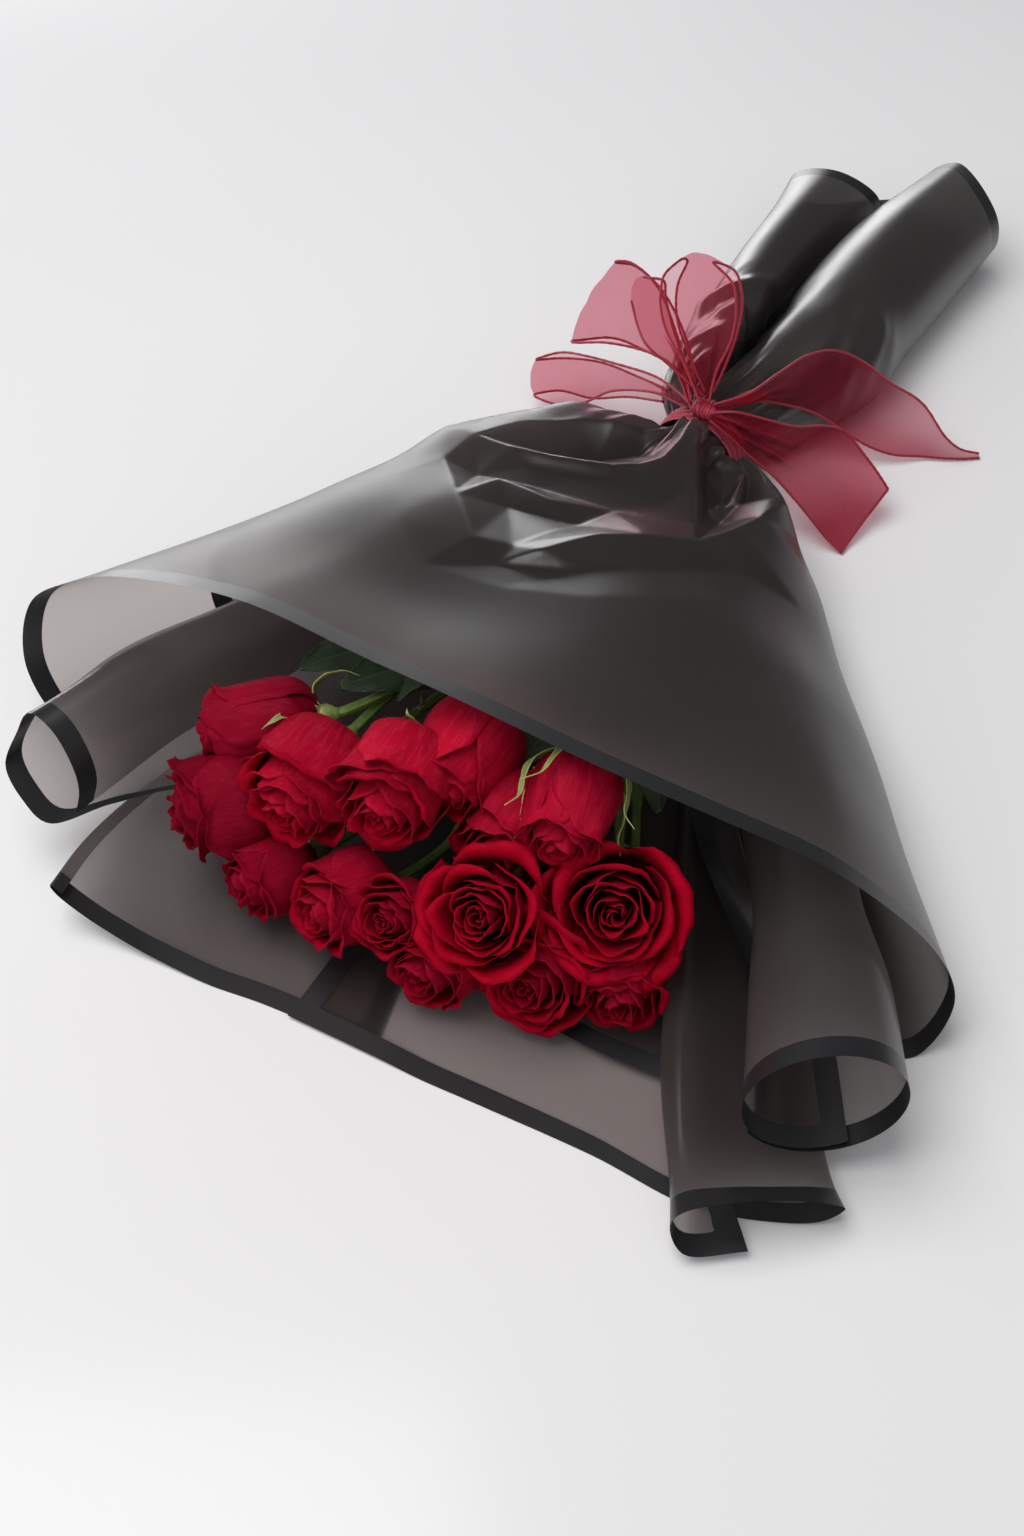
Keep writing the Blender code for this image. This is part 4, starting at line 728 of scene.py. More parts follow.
def stitch_material(name, a, b, scale):
    n = Net(name)
    uv = n.coord("UV")
    sep = n.add("SeparateXYZ", Vector=uv).node
    twist = n.math("SINE", n.math("ADD", n.math("MULTIPLY", sep.outputs[1], scale), n.math("MULTIPLY", sep.outputs[0], 6.28318)))
    cloud = n.noise(300.0, 3.0, 0.6)
    return n.done(n.add("BsdfPrincipled", Base_Color=n.mix(n.ramp(n.math("ADD", twist, cloud), -0.6, 1.4), a, b), Roughness=n.ramp(cloud, 0.3, 0.7, 0.42, 0.55),
                        Normal=n.bump(twist, 0.5, 0.0004), Sheen_Weight=0.4, Sheen_Roughness=0.4, Sheen_Tint=(1.0, 0.4, 0.5, 1)))


FILM_LOOK = film_material()
PETAL_FACE = petal_material("petal_face_look", (0.085, 0.0004, 0.0050, 1), (0.46, 0.0007, 0.0165, 1), (0.54, 0.003, 0.028, 1), False)
PETAL_BACK = petal_material("petal_back_look", (0.26, 0.0012, 0.013, 1), (0.52, 0.0045, 0.030, 1), (0.72, 0.045, 0.095, 1), True)
SEPAL_LOOK = green_material("sepal_look", (0.10, 0.15, 0.030, 1), (0.19, 0.24, 0.065, 1), None, 260.0, 0.45, (0.46, 0.34, 0.16, 1))
STEM_LOOK = green_material("stem_look", (0.055, 0.105, 0.018, 1), (0.12, 0.185, 0.040, 1), None, 220.0, 0.40, (0.22, 0.13, 0.05, 1))
# leaf colours near black-green: the leaf's own dark green, darker still as painted shade
LEAF_SHADED_LOOK = green_material("leaf_shaded_look", (0.006, 0.020, 0.006, 1), (0.016, 0.040, 0.011, 1), (0.045, 0.085, 0.028, 1), 120.0, 0.38)
RIBBON_LOOK = ribbon_material()
EDGE_LOOK = stitch_material("stitched_edge_look", (0.18, 0.003, 0.013, 1), (0.42, 0.010, 0.034, 1), 900.0)
KNOT_LOOK = stitch_material("knot_look", (0.20, 0.004, 0.018, 1), (0.48, 0.020, 0.055, 1), 60.0)
TIE_LOOK = stitch_material("tie_look", (0.030, 0.060, 0.022, 1), (0.075, 0.12, 0.05, 1), 90.0)


# ---------------------------------------------------------------- creases of the film
# Where the film is creased between the mouth and the waist: x, y, and how far the crease stands above the plain sheet.
CREASES = {
    "corner": ((-91, -122, 2.5),),
    "flank": ((-91, -122, 2.5), (-70, -160, 3), (-42, -195, 3), (-15, -225, 3)),
    "contour": ((-91, -122, 2.5), (-80, -86, 1), (-67, -63, 1), (-55, -44, 1), (-38, -24, 2)),
    "upper": ((-86, -107, 1), (-65, -90, 2), (-44, -68, 3), (-24, -58, 1)),
    "shadow": ((-22, -34, -5), (-8, -26, -4)),
    "hollow": ((-50, -104, -4), (-38, -96, -7), (-24, -82, -10), (-12, -62, -11), (-3, -42, -8)),
    "shelf": ((-91, -122, 2.5), (-72, -125, 3), (-52, -124, 3.5), (-37, -123, 4), (-18, -118, 4.5), (1, -110, 5), (10, -99, 5), (15, -86, 5.5), (14, -63, 6), (11, -40, 6)),
    "lip": ((-37, -132, -0.5), (-18, -128, 0), (2, -121, 1)),
    "facets": ((-52, -158, -3), (-22, -148, -4), (18, -146, -3), (34, -126, 0), (38, -102, 3)),
    "inner": ((-38, -160, 0.5), (-6, -163, 0)),
    "dip": ((-22, -180, -4), (12, -172, -5)),
    "lower": ((-15, -225, 3), (2, -218, 0.5), (18, -219, 4), (34, -190, 4.5), (48, -176, 4.5), (66, -154, 4), (73, -126, 5), (77, -100, 5), (80, -72, 7)),
    "below": ((2, -234, -1), (36, -216, -2), (66, -186, -2), (90, -150, -1)),
    "drop_top": ((11, -40, 6), (24, -62, 4), (40, -97, 2), (56, -132, 1)),
    "drop_foot": ((22, -44, -7), (29, -62, -9), (46, -95, -9), (61, -134, -2)),
    "pit": ((34, -50, -10), (45, -74, -13), (57, -104, -8), (44, -44, -7), (56, -68, -12)),
    "fin": ((50, -92, -6), (58, -84, -5)),
    "right": ((46, -42, 3), (62, -58, 4), (80, -72, 7)),
    "neck": ((32, -30, 3), (20, -21, 1.5)),
}
RIM = ((-99, -140), (-98, -116), (-90, -92), (-76, -64), (-62, -44), (-48, -30), (-36, -18), (-14, -11), (10, -10), (26, -12), (42, -20), (60, -32), (80, -46),
       (98, -70), (112, -100), (118, -140), (106, -178), (84, -208), (50, -238), (14, -252), (-24, -252), (-58, -222), (-84, -184))


def crease_mesh():
    points, heights, edges = [], [], []

    def at(x, y, h):
        for k, p in enumerate(points):
            if abs(p[0] - x) < 0.5 and abs(p[1] - y) < 0.5:
                return k
        points.append((x, y))
        heights.append(h)
        return len(points) - 1

    for line in CREASES.values():
        k = [at(*p) for p in line]
        edges += list(zip(k[:-1], k[1:]))
    k = [at(x, y, 0.0) for x, y in RIM]
    edges += list(zip(k, k[1:] + k[:1]))
    v, _, f, ov, _, _ = delaunay_2d_cdt([Vector(p) for p in points], edges, [], 0, 1e-4)
    v = np.array([tuple(p) for p in v])
    h = np.zeros(len(v))
    known = np.array(points, float)
    values = np.array(heights, float)
    for i, came in enumerate(ov):
        if came:
            h[i] = heights[came[0]]
        else:   # where two creases cross
            d = np.linalg.norm(known - v[i], axis=1)
            near = np.argsort(d)[:3]
            h[i] = (values[near] / d[near]).sum() / (1 / d[near]).sum()
    inside = []
    for face in f:
        for k in range(1, len(face) - 1):
            inside.append((face[0], face[k], face[k + 1]))
    return v, h, inside


def crease_height(xy):
    """How far the creased film stands above the plain sheet at these points."""
    v, h, faces = crease_mesh()
    rim = np.array(RIM, float)
    nxt = np.roll(rim, -1, axis=0)
    x, y = xy[:, 0], xy[:, 1]
    crossings = np.zeros(len(xy), int)
    for (x0, y0), (x1, y1) in zip(rim, nxt):
        hit = (y0 > y) != (y1 > y)
        crossings += hit & (x < (x1 - x0) * (y - y0) / (y1 - y0 + 1e-12) + x0)
    out = np.zeros(len(xy))
    for a, b, c in faces:
        p, q, r = v[a], v[b], v[c]
        det = (q[0] - p[0]) * (r[1] - p[1]) - (r[0] - p[0]) * (q[1] - p[1])
        if abs(det) < 1e-6:
            continue
        s = ((x - p[0]) * (r[1] - p[1]) - (r[0] - p[0]) * (y - p[1])) / det
        t = ((q[0] - p[0]) * (y - p[1]) - (x - p[0]) * (q[1] - p[1])) / det
        hit = (s >= -1e-6) & (t >= -1e-6) & (s + t <= 1 + 1e-6)
        out = np.where(hit, h[a] * (1 - s - t) + h[b] * s + h[c] * t, out)
    return np.where(crossings % 2 == 1, out, 0.0)


def soften(a, times):
    for _ in range(times):
        for axis in (0, 1):
            b = np.concatenate([a.take([0], axis), a, a.take([-1], axis)], axis)
            n = a.shape[axis]
            a = 0.25 * b.take(range(n), axis) + 0.5 * b.take(range(1, n + 1), axis) + 0.25 * b.take(range(2, n + 2), axis)
    return a


def step(x, low, high):
    t = np.clip((x - low) / (high - low), 0, 1)
    return t * t * (3 - 2 * t)


def waves(p, seed, count, shortest, longest):
    """Smooth, uneven waves over the points, about -1 to 1."""
    rng = random.Random(seed)
    out = np.zeros(p.shape[:-1])
    for _ in range(count):
        d = np.array([rng.gauss(0, 1) for _ in range(3)])
        d /= np.linalg.norm(d)
        k = 2 * math.pi / (shortest * (longest / shortest) ** rng.random())
        out += np.sin(p @ d * k + rng.random() * 6.28)
    return out / math.sqrt(count)


def folds(p, seed, count, reach, low, high):
    """Straight sharp folds laid at random over the points: sums of creases, each fading out along and across."""
    rng = random.Random(seed)
    out = np.zeros(p.shape[:-1])
    flat = p.reshape(-1, 3)
    ok = flat[(flat[:, 1] > low) & (flat[:, 1] < high)]
    for _ in range(count):
        c = ok[rng.randrange(len(ok))]
        a = rng.uniform(-0.75, 0.75)
        along = np.array([math.sin(a), math.cos(a), 0])
        side = np.array([math.cos(a), -math.sin(a), 0.6 * rng.uniform(-1, 1)])
        side /= np.linalg.norm(side)
        long, wide = reach * rng.uniform(0.7, 1.5), reach * rng.uniform(0.18, 0.34)
        d = p - c
        s, t = d @ along, d @ side
        out += rng.choice((-1, 1, 1)) * np.exp(-(s / long) ** 2) * np.maximum(0, 1 - np.abs(t) / wide) * rng.uniform(0.5, 1)
    return out


def pleats(g):
    """Folds of the gathered waist, the same for every layer so that none crosses the next."""
    x, y, z = g[..., 0] - WAIST[0], g[..., 1] - WAIST[1], g[..., 2] - WAIST[2]
    y0 = y
    cx = np.where(y > 20, (y - 20) * 0.16, 0.0)
    r = np.hypot(x - cx, z) + 1e-9
    a = np.arctan2(z, x - cx)
    near = np.exp(-((np.maximum(np.abs(y0) - 10, 0)) / 34.0) ** 2) * (0.42 + 0.58 * step(np.abs(y0), 8, 16))   # the band presses them flat
    s = np.sin(17 * a + 0.9 * np.sin(3 * a + 1) + y * 0.012) + 0.45 * np.sin(31 * a + 2.0 + y * 0.02)
    size = np.clip((r - 13.5) / 9.5, 0, 1.7) * 1.5 * near
    g = g.copy()
    g[..., 0] += (x - cx) / r * s * size
    g[..., 2] += z / r * s * size
    return g


def normals(g):
    n = np.cross(np.gradient(g, axis=1), np.gradient(g, axis=0))
    return n / (np.linalg.norm(n, axis=2, keepdims=True) + 1e-9)


def edge_distance(g, sides=(1, 1, 1, 1)):
    """Each point's distance in mm from the nearest cut edge: front, rear, first side, last side."""
    along = np.concatenate([np.zeros((1, g.shape[1])), np.cumsum(np.linalg.norm(np.diff(g, axis=0), axis=2), 0)])
    across = np.concatenate([np.zeros((g.shape[0], 1)), np.cumsum(np.linalg.norm(np.diff(g, axis=1), axis=2), 1)], 1)
    far = 500.0
    parts = [along if sides[0] else along * 0 + far, along[-1:] - along if sides[1] else along * 0 + far,
             across if sides[2] else across * 0 + far, across[:, -1:] - across if sides[3] else across * 0 + far]
    return np.minimum.reduce(parts)


def creased(name, g):
    """The sheet with its creases, pleats and soft unevenness, none of it below the table."""
    mark = None
    if name in ("top_sheet", "handle_sheet"):
        w = step(g[..., 2], 34, 46) * step(-g[..., 1], 6, 18)
        h = crease_height(g[..., :2].reshape(-1, 2)).reshape(g.shape[:2])
        g = g.copy()
        g[..., 2] += 1.18 * (0.55 * h + 0.45 * soften(h, 1)) * w
    g = pleats(g)
    n = normals(g)
    y = g[..., 1]
    flat = step(g[..., 2], 0.9, 5.0)
    amp = 0.8 * step(-y, 60, 200) + 0.15
    soft = waves(g, 11 if name in ("top_sheet", "handle_sheet") else sum(map(ord, name)), 9, 70, 190) * amp * flat
    if name in ("top_sheet", "handle_sheet"):
        near = step(y, 2, 22) * (1 - step(y, 60, 170)) * flat
        soft = soften(soft * (1 - 0.6 * step(y, 20, 60)) + folds(g, 5 if name == "top_sheet" else 8, 26, 30, 8, 140) * 2.6 * near, 1)
    g = g + n * soft[..., None]
    g[..., 2] = np.maximum(g[..., 2], TABLE)
    return g


# ---------------------------------------------------------------- the film sheets
# name: points across, step along, which sides are cut edges (front, rear, first, last), flat (width, length) and cut area in m, what it rests on
FILM_SHEETS = {
    "top_sheet": (297, 2.35, (1, 1, 1, 1), (0.68, 0.65), 0.215, ("handle_sheet_film", "ribbon_band_wrap")),
    "handle_sheet": (201, 3.2, (1, 1, 1, 1), (0.58, 0.58), 0.180, ("left_inner_sheet_film", "right_inner_sheet_film")),
    "left_inner_sheet": (181, 4.0, (1, 1, 0, 1), (0.45, 0.46), 0.117, ("right_back_sheet_film",)),
    "right_inner_sheet": (161, 4.0, (1, 1, 1, 1), (0.45, 0.50), 0.075, ("right_back_sheet_film",)),
    "right_back_sheet": (161, 4.0, (1, 1, 1, 1), (0.45, 0.53), 0.106, ("left_back_sheet_film",)),
    "left_back_sheet": (111, 4.0, (1, 1, 0, 1), (0.30, 0.47), 0.056, ("stem_tie_twine",)),
}

def layers(name, g):
    """How much less light comes through than with one sheet: rolls of more than one turn, edges turned under, sheets
    laid double, and painted shade on the top sheet's right side.
    """
    x, y, z = g[..., 0], g[..., 1], g[..., 2]
    if name == "top_sheet":
        # painted shade: the top sheet lets less light through towards its right side, so that side is darker
        return np.maximum(step(y, -25, 60), 0.56 * step(x, -140, 60))
    if name == "handle_sheet":
        return step(y, -25, 60)
    if name == "left_inner_sheet":
        return 0.50 * step(z, 14, 30) * step(y, -404, -365)
    if name == "right_inner_sheet":
        return 0.42 * step(z, 10, 30)
    if name == "right_back_sheet":
        return 0.35 * step(z, 3, 12)
    return 0.42 + 0 * z


for name, (across, every, cut, flat, area, under) in FILM_SHEETS.items():
    g = creased(name, SHEETS[name](across, every))
    b = Build()
    b.grid(g, value=edge_distance(g, cut))
    plies_and_shade = layers(name, g)
    film = b.object(name + "_film", [FILM_LOOK], plies_and_shade)
    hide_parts(name)
    FILM_SHEETS[name] = (film, flat, area, under)


# ---------------------------------------------------------------- the roses
def to_world(h, x, y, z):
    """Points of a head's own frame, z along its axis, in the sheets' coordinates. y is down when the head faces forwards."""
    w = np.cross(h["d"], h["u"])
    return h["base"] + x[..., None] * h["u"] + y[..., None] * w + z[..., None] * h["d"]


def meridian(points, lip, turn, t):
    """Radius and height along a petal: a smooth line through the points, then a curl of that radius turning outwards."""
    r1, z1 = points[-1]
    b = np.linspace(0, turn, 9)[1:]
    curl = [(r1 + lip * (1 - math.cos(x)), z1 + lip * math.sin(x)) for x in b]
    line = spline([(r, z, 0) for r, z in list(points) + curl], 60)
    s = np.linspace(0, 1, len(line))
    return np.interp(t, s, line[:, 0]), np.interp(t, s, line[:, 1])


def petal(rng, h, s, azimuth, nt=21, na=17):
    """One petal: s runs from the heart, 0, to the outermost, 1."""
    R, L, o = h["free"], h["length"], h["open"]
    cup = 1 - 0.10 * math.exp(-(s / 0.18) ** 2)   # the heart stands lower than the petals round it
    top = L * (0.98 - 0.33 * o * s ** 1.7) * cup * rng.uniform(0.95, 1.03)
    rm = R * ((1 - o) * (0.10 + 0.84 * s) + o * (0.10 + 0.82 * s)) * rng.uniform(0.96, 1.04)
    rt = R * ((1 - o) * (0.05 + 0.52 * s) + o * (0.05 + 0.98 * s ** 1.05)) * rng.uniform(0.93, 1.07)
    lip = R * (0.020 + 0.11 * s ** 1.3 * (0.35 + 0.65 * o)) * rng.uniform(0.6, 1.5)
    turn = math.radians(25 + 105 * s * (0.30 + 0.70 * o) + rng.uniform(-24, 26))
    half = math.radians((92 - 30 * s) if o > 0.45 else (98 - 16 * s)) * rng.uniform(0.92, 1.08)
    z1 = top - lip
    points = [(R * 0.10, 0.0), (rm * 0.62, 0.09 * z1), (rm * 0.94, 0.24 * z1), (rm, 0.44 * z1), (0.5 * rm + 0.5 * rt, 0.76 * z1), (rt, z1)]
    t = np.linspace(0, 1, nt)[:, None]
    a = np.linspace(-1, 1, na)[None, :]
    reach = t * (1 - rng.uniform(0.16, 0.30) * np.abs(a) ** rng.uniform(2.0, 3.2))
    r, z = meridian(points, lip, turn, np.clip(reach, 0, 1))
    grow = 0.34 + 0.66 * np.clip(t / 0.5, 0, 1) ** 0.8
    phi = azimuth + a * half * grow + rng.uniform(-0.16, 0.16) * t
    hand = rng.choice((-1, 1))
    r = r + R * 0.045 * hand * a * t + R * 0.07 * np.abs(a) ** 3 * t ** 2 * (0.1 + s * o) * rng.uniform(0.3, 1.5)
    r = r * (1 + 0.36 * a * (1 - s) ** 4 * t) + R * rng.uniform(-0.02, 0.05) * t ** 2
    p1, p2, p3 = (rng.uniform(0, 6.28) for _ in range(3))
    ruffle = (np.sin(a * rng.uniform(2.5, 4.5) + p1) + 0.55 * np.sin(a * rng.uniform(6, 9) + p2) + 0.25 * np.sin(a * 17 + p3)) * t ** 4
    r = r + ruffle * R * 0.056 * (0.22 + s)
    z = z + ((np.sin(a * rng.uniform(4, 7) + p3) + 0.5 * np.sin(a * 13 + p1)) * t ** 4 * 0.045 - 0.07 * t ** 3 * a ** 2) * R * (0.25 + s)
    point = rng.uniform(0.0, 0.13) * (0.3 + s) * R * np.exp(-((a - rng.uniform(-0.15, 0.15)) / 0.14) ** 2) * t ** 7   # the little point at the middle of the rim
    dent = rng.uniform(0.0, 0.04) * R * s * np.exp(-((a - rng.uniform(-0.6, 0.6)) / 0.2) ** 2) * t ** 5
    r = np.maximum(r + point * 0.7 - dent, 0.2)
    return r * np.cos(phi), r * np.sin(phi), z + point * (1 - s * o) - dent


# how much wider a head's own petals are than the solid pressed among its neighbours
FREE = {"01": 1.20, "02": 1.25, "03": 1.18, "04": 1.15, "05": 1.06, "06": 0.88, "07": 0.92, "08": 0.92, "09": 1.15, "10": 1.28, "11": 1.20, "12": 1.02,
        "13": 1.12, "14": 1.25, "15": 1.30}


# heads painted darker than the rest: partly a deeper red, partly painted shade on heads that lie in shadow, 02 most
DARKER_RED_AND_SHADE = {"01": 0.62, "02": 0.80, "13": 0.62, "14": 0.55, "10": 0.40, "11": 0.34, "15": 0.25, "09": 0.28, "07": 0.20, "12": 0.20}


# heads whose petals stand more or less open than their pressed solids, and heads whose petals hang to a side, with how much longer they are
OPEN = {"01": 0.66, "02": 0.75, "03": 0.80, "04": 0.82, "07": 0.40, "10": 0.75, "11": 0.80, "13": 0.75}
HANG = {"01": ((-0.10, -0.05, 0.05), 1.0), "02": ((0.05, -0.15, 0.10), 1.05), "03": ((-0.08, 0.0, -0.02), 1.05), "04": ((-0.07, 0.0, -0.02), 1.04),
        "05": ((-0.14, 0.0, -0.08), 1.03), "07": ((-0.05, 0.0, -0.12), 1.0), "15": ((-0.05, 0.0, -0.05), 1.06)}


def hung(h):
    key = h["name"][5:]
    h = dict(h, open=OPEN.get(key, h["open"]))
    if key in HANG:
        lean, longer = HANG[key]
        d = h["d"] + np.array(lean)
        d = d / np.linalg.norm(d)
        u = h["u"] - d * (h["u"] @ d)
        h.update(d=d, u=u / np.linalg.norm(u), length=h["length"] * longer)
    return h


def bloom(h):
    h = hung(h)
    rng = random.Random(h["name"])
    n = int(round(19 + 7 * h["open"]))
    b = Build()
    start = rng.uniform(0, 6.28)
    for i in range(n):
        s = (i / (n - 1)) ** (1 + 0.35 * h["open"])   # open heads have a dense heart and wide outer petals
        g = to_world(h, *petal(rng, h, s, start + i * 2.39996 + rng.uniform(-0.35, 0.35)))
        g[..., 2] = np.maximum(g[..., 2], 6.4)
        # painted shade: darker heads and darker petals in the heart; the random part is each petal's own tone
        shade = min(1.0, DARKER_RED_AND_SHADE.get(h["name"][5:], 0.0) + 0.32 * (1 - s) ** 1.5 + rng.uniform(0.0, 0.35) * (0.3 + 0.7 * s))
        b.grid(g, value=shade)
    obj = b.object(h["name"] + "_bloom", [PETAL_BACK, PETAL_FACE])
    thick(obj, 0.35, -1.0, 1, 0)
    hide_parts(h["name"])
    return obj


# five sepals of a head: azimuth, how far bent back, length as a share of the head's, dryness, twist
SEPALS = {
    "01": ((-112, 0.45, 1.15, 0.05, -0.5), (-40, 0.95, 0.8, 0.1, 0.2), (40, 0.8, 0.8, 0.2, 0.0), (120, 0.8, 0.8, 0.2, 0.0), (195, 0.7, 0.9, 0.1, 0.3)),
    "05": ((-100, 1.0, 0.62, 0.9, 0.8), (-35, 1.0, 0.60, 0.7, -0.6), (-150, 0.9, 0.70, 0.6, 0.3), (35, 0.6, 0.7, 0.4, 0.0), (120, 0.7, 0.7, 0.4, 0.0)),
    "07": ((-98, 0.05, 0.72, 0.05, 0.9), (-38, 0.12, 0.98, 0.1, 0.2), (-152, 0.12, 0.98, 0.1, -0.2), (20, 0.2, 1.1, 0.1, 0.2), (160, 0.2, 1.05, 0.1, -0.3)),
}


def calyx(h):
    """The swelling under a head and its five sepals."""
    rng = random.Random(h["name"] + "c")
    key = h["name"][5:]
    R, L = h["free"], h["length"]
    b = Build()
    th = np.linspace(0, 2 * math.pi, 20, endpoint=False)
    profile = [(2.35, -7.5), (2.7, -6.0), (4.0, -4.5), (5.0, -2.5), (5.0, -0.5), (4.2, 1.4), (2.4, 2.6)]
    r = np.array([p[0] for p in profile])[:, None] * (1 + 0.03 * np.sin(5 * th))
    z = np.array([p[1] for p in profile])[:, None] + 0 * th
    g = to_world(h, r * np.cos(th), r * np.sin(th), z)
    b.grid(g, 0, value=0.0, wrap=True)
    if key in SEPALS:
        five = SEPALS[key]
    else:
        five = [(72 * k + rng.uniform(-14, 14) - 90, rng.uniform(0.35, 1.0), rng.uniform(0.55, 0.85), rng.choice((0.05, 0.15, 0.3, 0.6)), rng.uniform(-0.5, 0.5))
                for k in range(5)]
    t = np.linspace(0, 1, 25)
    for azimuth, back, length, dry, twist in five:
        n = L * length
        hug = [(3.6, 0), (min(R * 0.62, 11), n * 0.10), (R * 0.98 + 1.2, n * 0.34), (R * 1.04 + 1.8, n * 0.60), (R * 0.96 + 3, n * 0.80), (R * 0.96 + 9, n * 0.98)]
        bent = [(3.6, 0), (8, n * 0.05), (13, n * 0.02), (17, -n * 0.12), (18, -n * 0.32), (15, -n * 0.46)]
        line = [(p[0] * (1 - back) + q[0] * back, p[1] * (1 - back) + q[1] * back, 0) for p, q in zip(hug, bent)]
        line = spline(line, len(t))
        width = 3.5 * np.sin(np.pi * np.clip(0.22 + 0.80 * t, 0, 1)) ** 0.8 * (1 - 0.5 * t) * (1 + 0.18 * np.sin(26 * t) * (t > 0.35)) + 0.12
        a = np.linspace(-1, 1, 7)[None, :]
        phi0 = math.radians(azimuth) + twist * t ** 1.5
        curl = rng.uniform(-0.7, 0.7) * t ** 2
        x = line[:, 0] * np.cos(phi0)
        y = line[:, 0] * np.sin(phi0)
        side = np.stack([-np.sin(phi0), np.cos(phi0)], 1)
        out = np.stack([np.cos(phi0), np.sin(phi0)], 1)
        off = a * width[:, None]
        lift = (0.30 * np.abs(a) ** 2 * width[:, None] + off * np.sin(curl)[:, None])
        px = x[:, None] + off * np.cos(curl)[:, None] * side[:, :1] + lift * out[:, :1]
        py = y[:, None] + off * np.cos(curl)[:, None] * side[:, 1:] + lift * out[:, 1:]
        pz = line[:, 1][:, None] + 0 * a
        g = to_world(h, px, py, pz)
        g[..., 2] = np.maximum(g[..., 2], 6.2)
        b.grid(g, 0, value=np.clip(dry + 0.35 * t ** 3, 0, 1)[:, None] + 0 * a)
    obj = b.object(h["name"] + "_calyx", [SEPAL_LOOK])
    thick(obj, 0.4, 0.0)
    return obj


for h in roses():
    h["free"] = h["r"] * FREE[h["name"][5:]]
    bloom(h)
    calyx(h)


# ---------------------------------------------------------------- the stems
def stem(h, line):
    rng = random.Random(h["name"] + "s")
    p = spline(line, 130)
    n = len(p)
    s = np.linspace(0, 1, n)
    r = STEM_R * (1 + 0.05 * np.sin(s * rng.uniform(25, 40) + rng.uniform(0, 6)) + 0.03 * np.sin(s * 90))
    for _ in range(3):
        at = rng.uniform(0.1, 0.45)
        r = r + 0.55 * np.exp(-((s - at) / 0.008) ** 2)
    r = np.where((p[:, 1] > -48) & (p[:, 1] < 20), np.minimum(r, STEM_R), r)
    b = Build()
    b.tube(p, r, 0, 14, value=(np.clip((s - 0.985) / 0.01, 0, 1) * 0.8)[:, None] + np.zeros((n, 14)))
    t = np.gradient(p, axis=0)
    for _ in range(7):
        k = rng.randrange(8, 60)
        if p[k, 1] > -120:
            continue
        d = t[k] / np.linalg.norm(t[k])
        side = np.cross(d, [rng.gauss(0, 1) for _ in range(3)])
        side /= np.linalg.norm(side)
        w = np.linspace(0, 1, 5)[:, None]
        b.tube(p[k] + side * (1.8 + 4.6 * w) + d * 1.6 * w ** 2, np.array([1.5, 1.0, 0.62, 0.3, 0.05]), 0, 8, value=0.35)
    obj = b.object(h["name"].replace("rose", "stem") + "_cane", [STEM_LOOK])
    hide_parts(h["name"].replace("rose", "stem"))


lines = stems()
for h, line in zip(roses(), lines):
    stem(h, line)


# ---------------------------------------------------------------- the leaves
def blade(b, a, tip, half, tilt, seed):
    """One toothed leaflet, folded along its midrib, arched and a little wavy."""
    rng = random.Random(seed)
    a, tip = np.array(a, float), np.array(tip, float)
    d = tip - a
    length = np.linalg.norm(d)
    d /= length
    side = np.cross(d, (0, 0, 1.0))
    side /= np.linalg.norm(side)
    up = np.cross(side, d)
    side, up = side * math.cos(tilt) + up * math.sin(tilt), up * math.cos(tilt) - side * math.sin(tilt)
    v = np.linspace(0, 1, 97)[:, None, None]
    u = np.linspace(-1, 1, 21)[None, :, None]
    w = half * (np.sin(math.pi * (0.04 + 0.94 * v) ** 0.85)) ** 0.8
    teeth = 1 - 0.10 * ((v * 15) % 1.0) * np.abs(u) ** 6
    rise = 0.24 * w * np.abs(u) + length * 0.10 * np.sin(math.pi * v)
    rise = rise + half * 0.07 * np.sin(v * 19 + rng.uniform(0, 6) + 2.0 * u) * np.abs(u) ** 2 - half * 0.05 * np.abs(np.sin((v * 9 - np.abs(u) * 3.5) * math.pi)) * np.abs(u)
    g = a + d * length * (v + 0.06 * np.abs(u) * (1 - v)) + side * w * u * teeth + up * rise
    b.grid(g, 0, value=0.0)


def petiole(b, a, lines):
    """From a leaf's base to the nearest stem behind it."""
    best = None
    for line in lines:
        p = spline(line, 200)
        q = p[(p[:, 1] > a[1] + 18) & (p[:, 1] < a[1] + 70)]
        if len(q):
            k = np.argmin(np.linalg.norm(q - a, axis=1))
            if best is None or np.linalg.norm(q[k] - a) < np.linalg.norm(best - a):
                best = q[k]
    if best is None:
        return
    mid = (a + best) / 2 + (0, 6, -3)
    b.tube(spline([best, mid, a, a + (0, -4, 0.5)], 24), np.linspace(1.5, 0.75, 24), 1, 8)


for name, (a, tip, half, tilt) in LEAVES.items():
    b = Build()
    a, tip = np.array(a, float), np.array(tip, float)
    blade(b, a, tip, half, tilt, name)
    d = tip - a
    for k, turn in enumerate((0.95, -0.95)):
        way = np.array([d[0] * math.cos(turn) - d[1] * math.sin(turn), d[0] * math.sin(turn) + d[1] * math.cos(turn), d[2]])
        blade(b, a + (0, 5 + 2 * k, -0.5), a + way * 0.62 + (0, 0, -5), half * 0.68, tilt + 0.3 * (1 - 2 * k), name + str(k))
    petiole(b, a, lines)
    leaf_piece = b.object(name + "_blades", [LEAF_SHADED_LOOK, STEM_LOOK])
    thick(leaf_piece, 0.3, 0.0)
    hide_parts(name)


# ---------------------------------------------------------------- the ribbon
RIBBON_WIDTH = 44.0
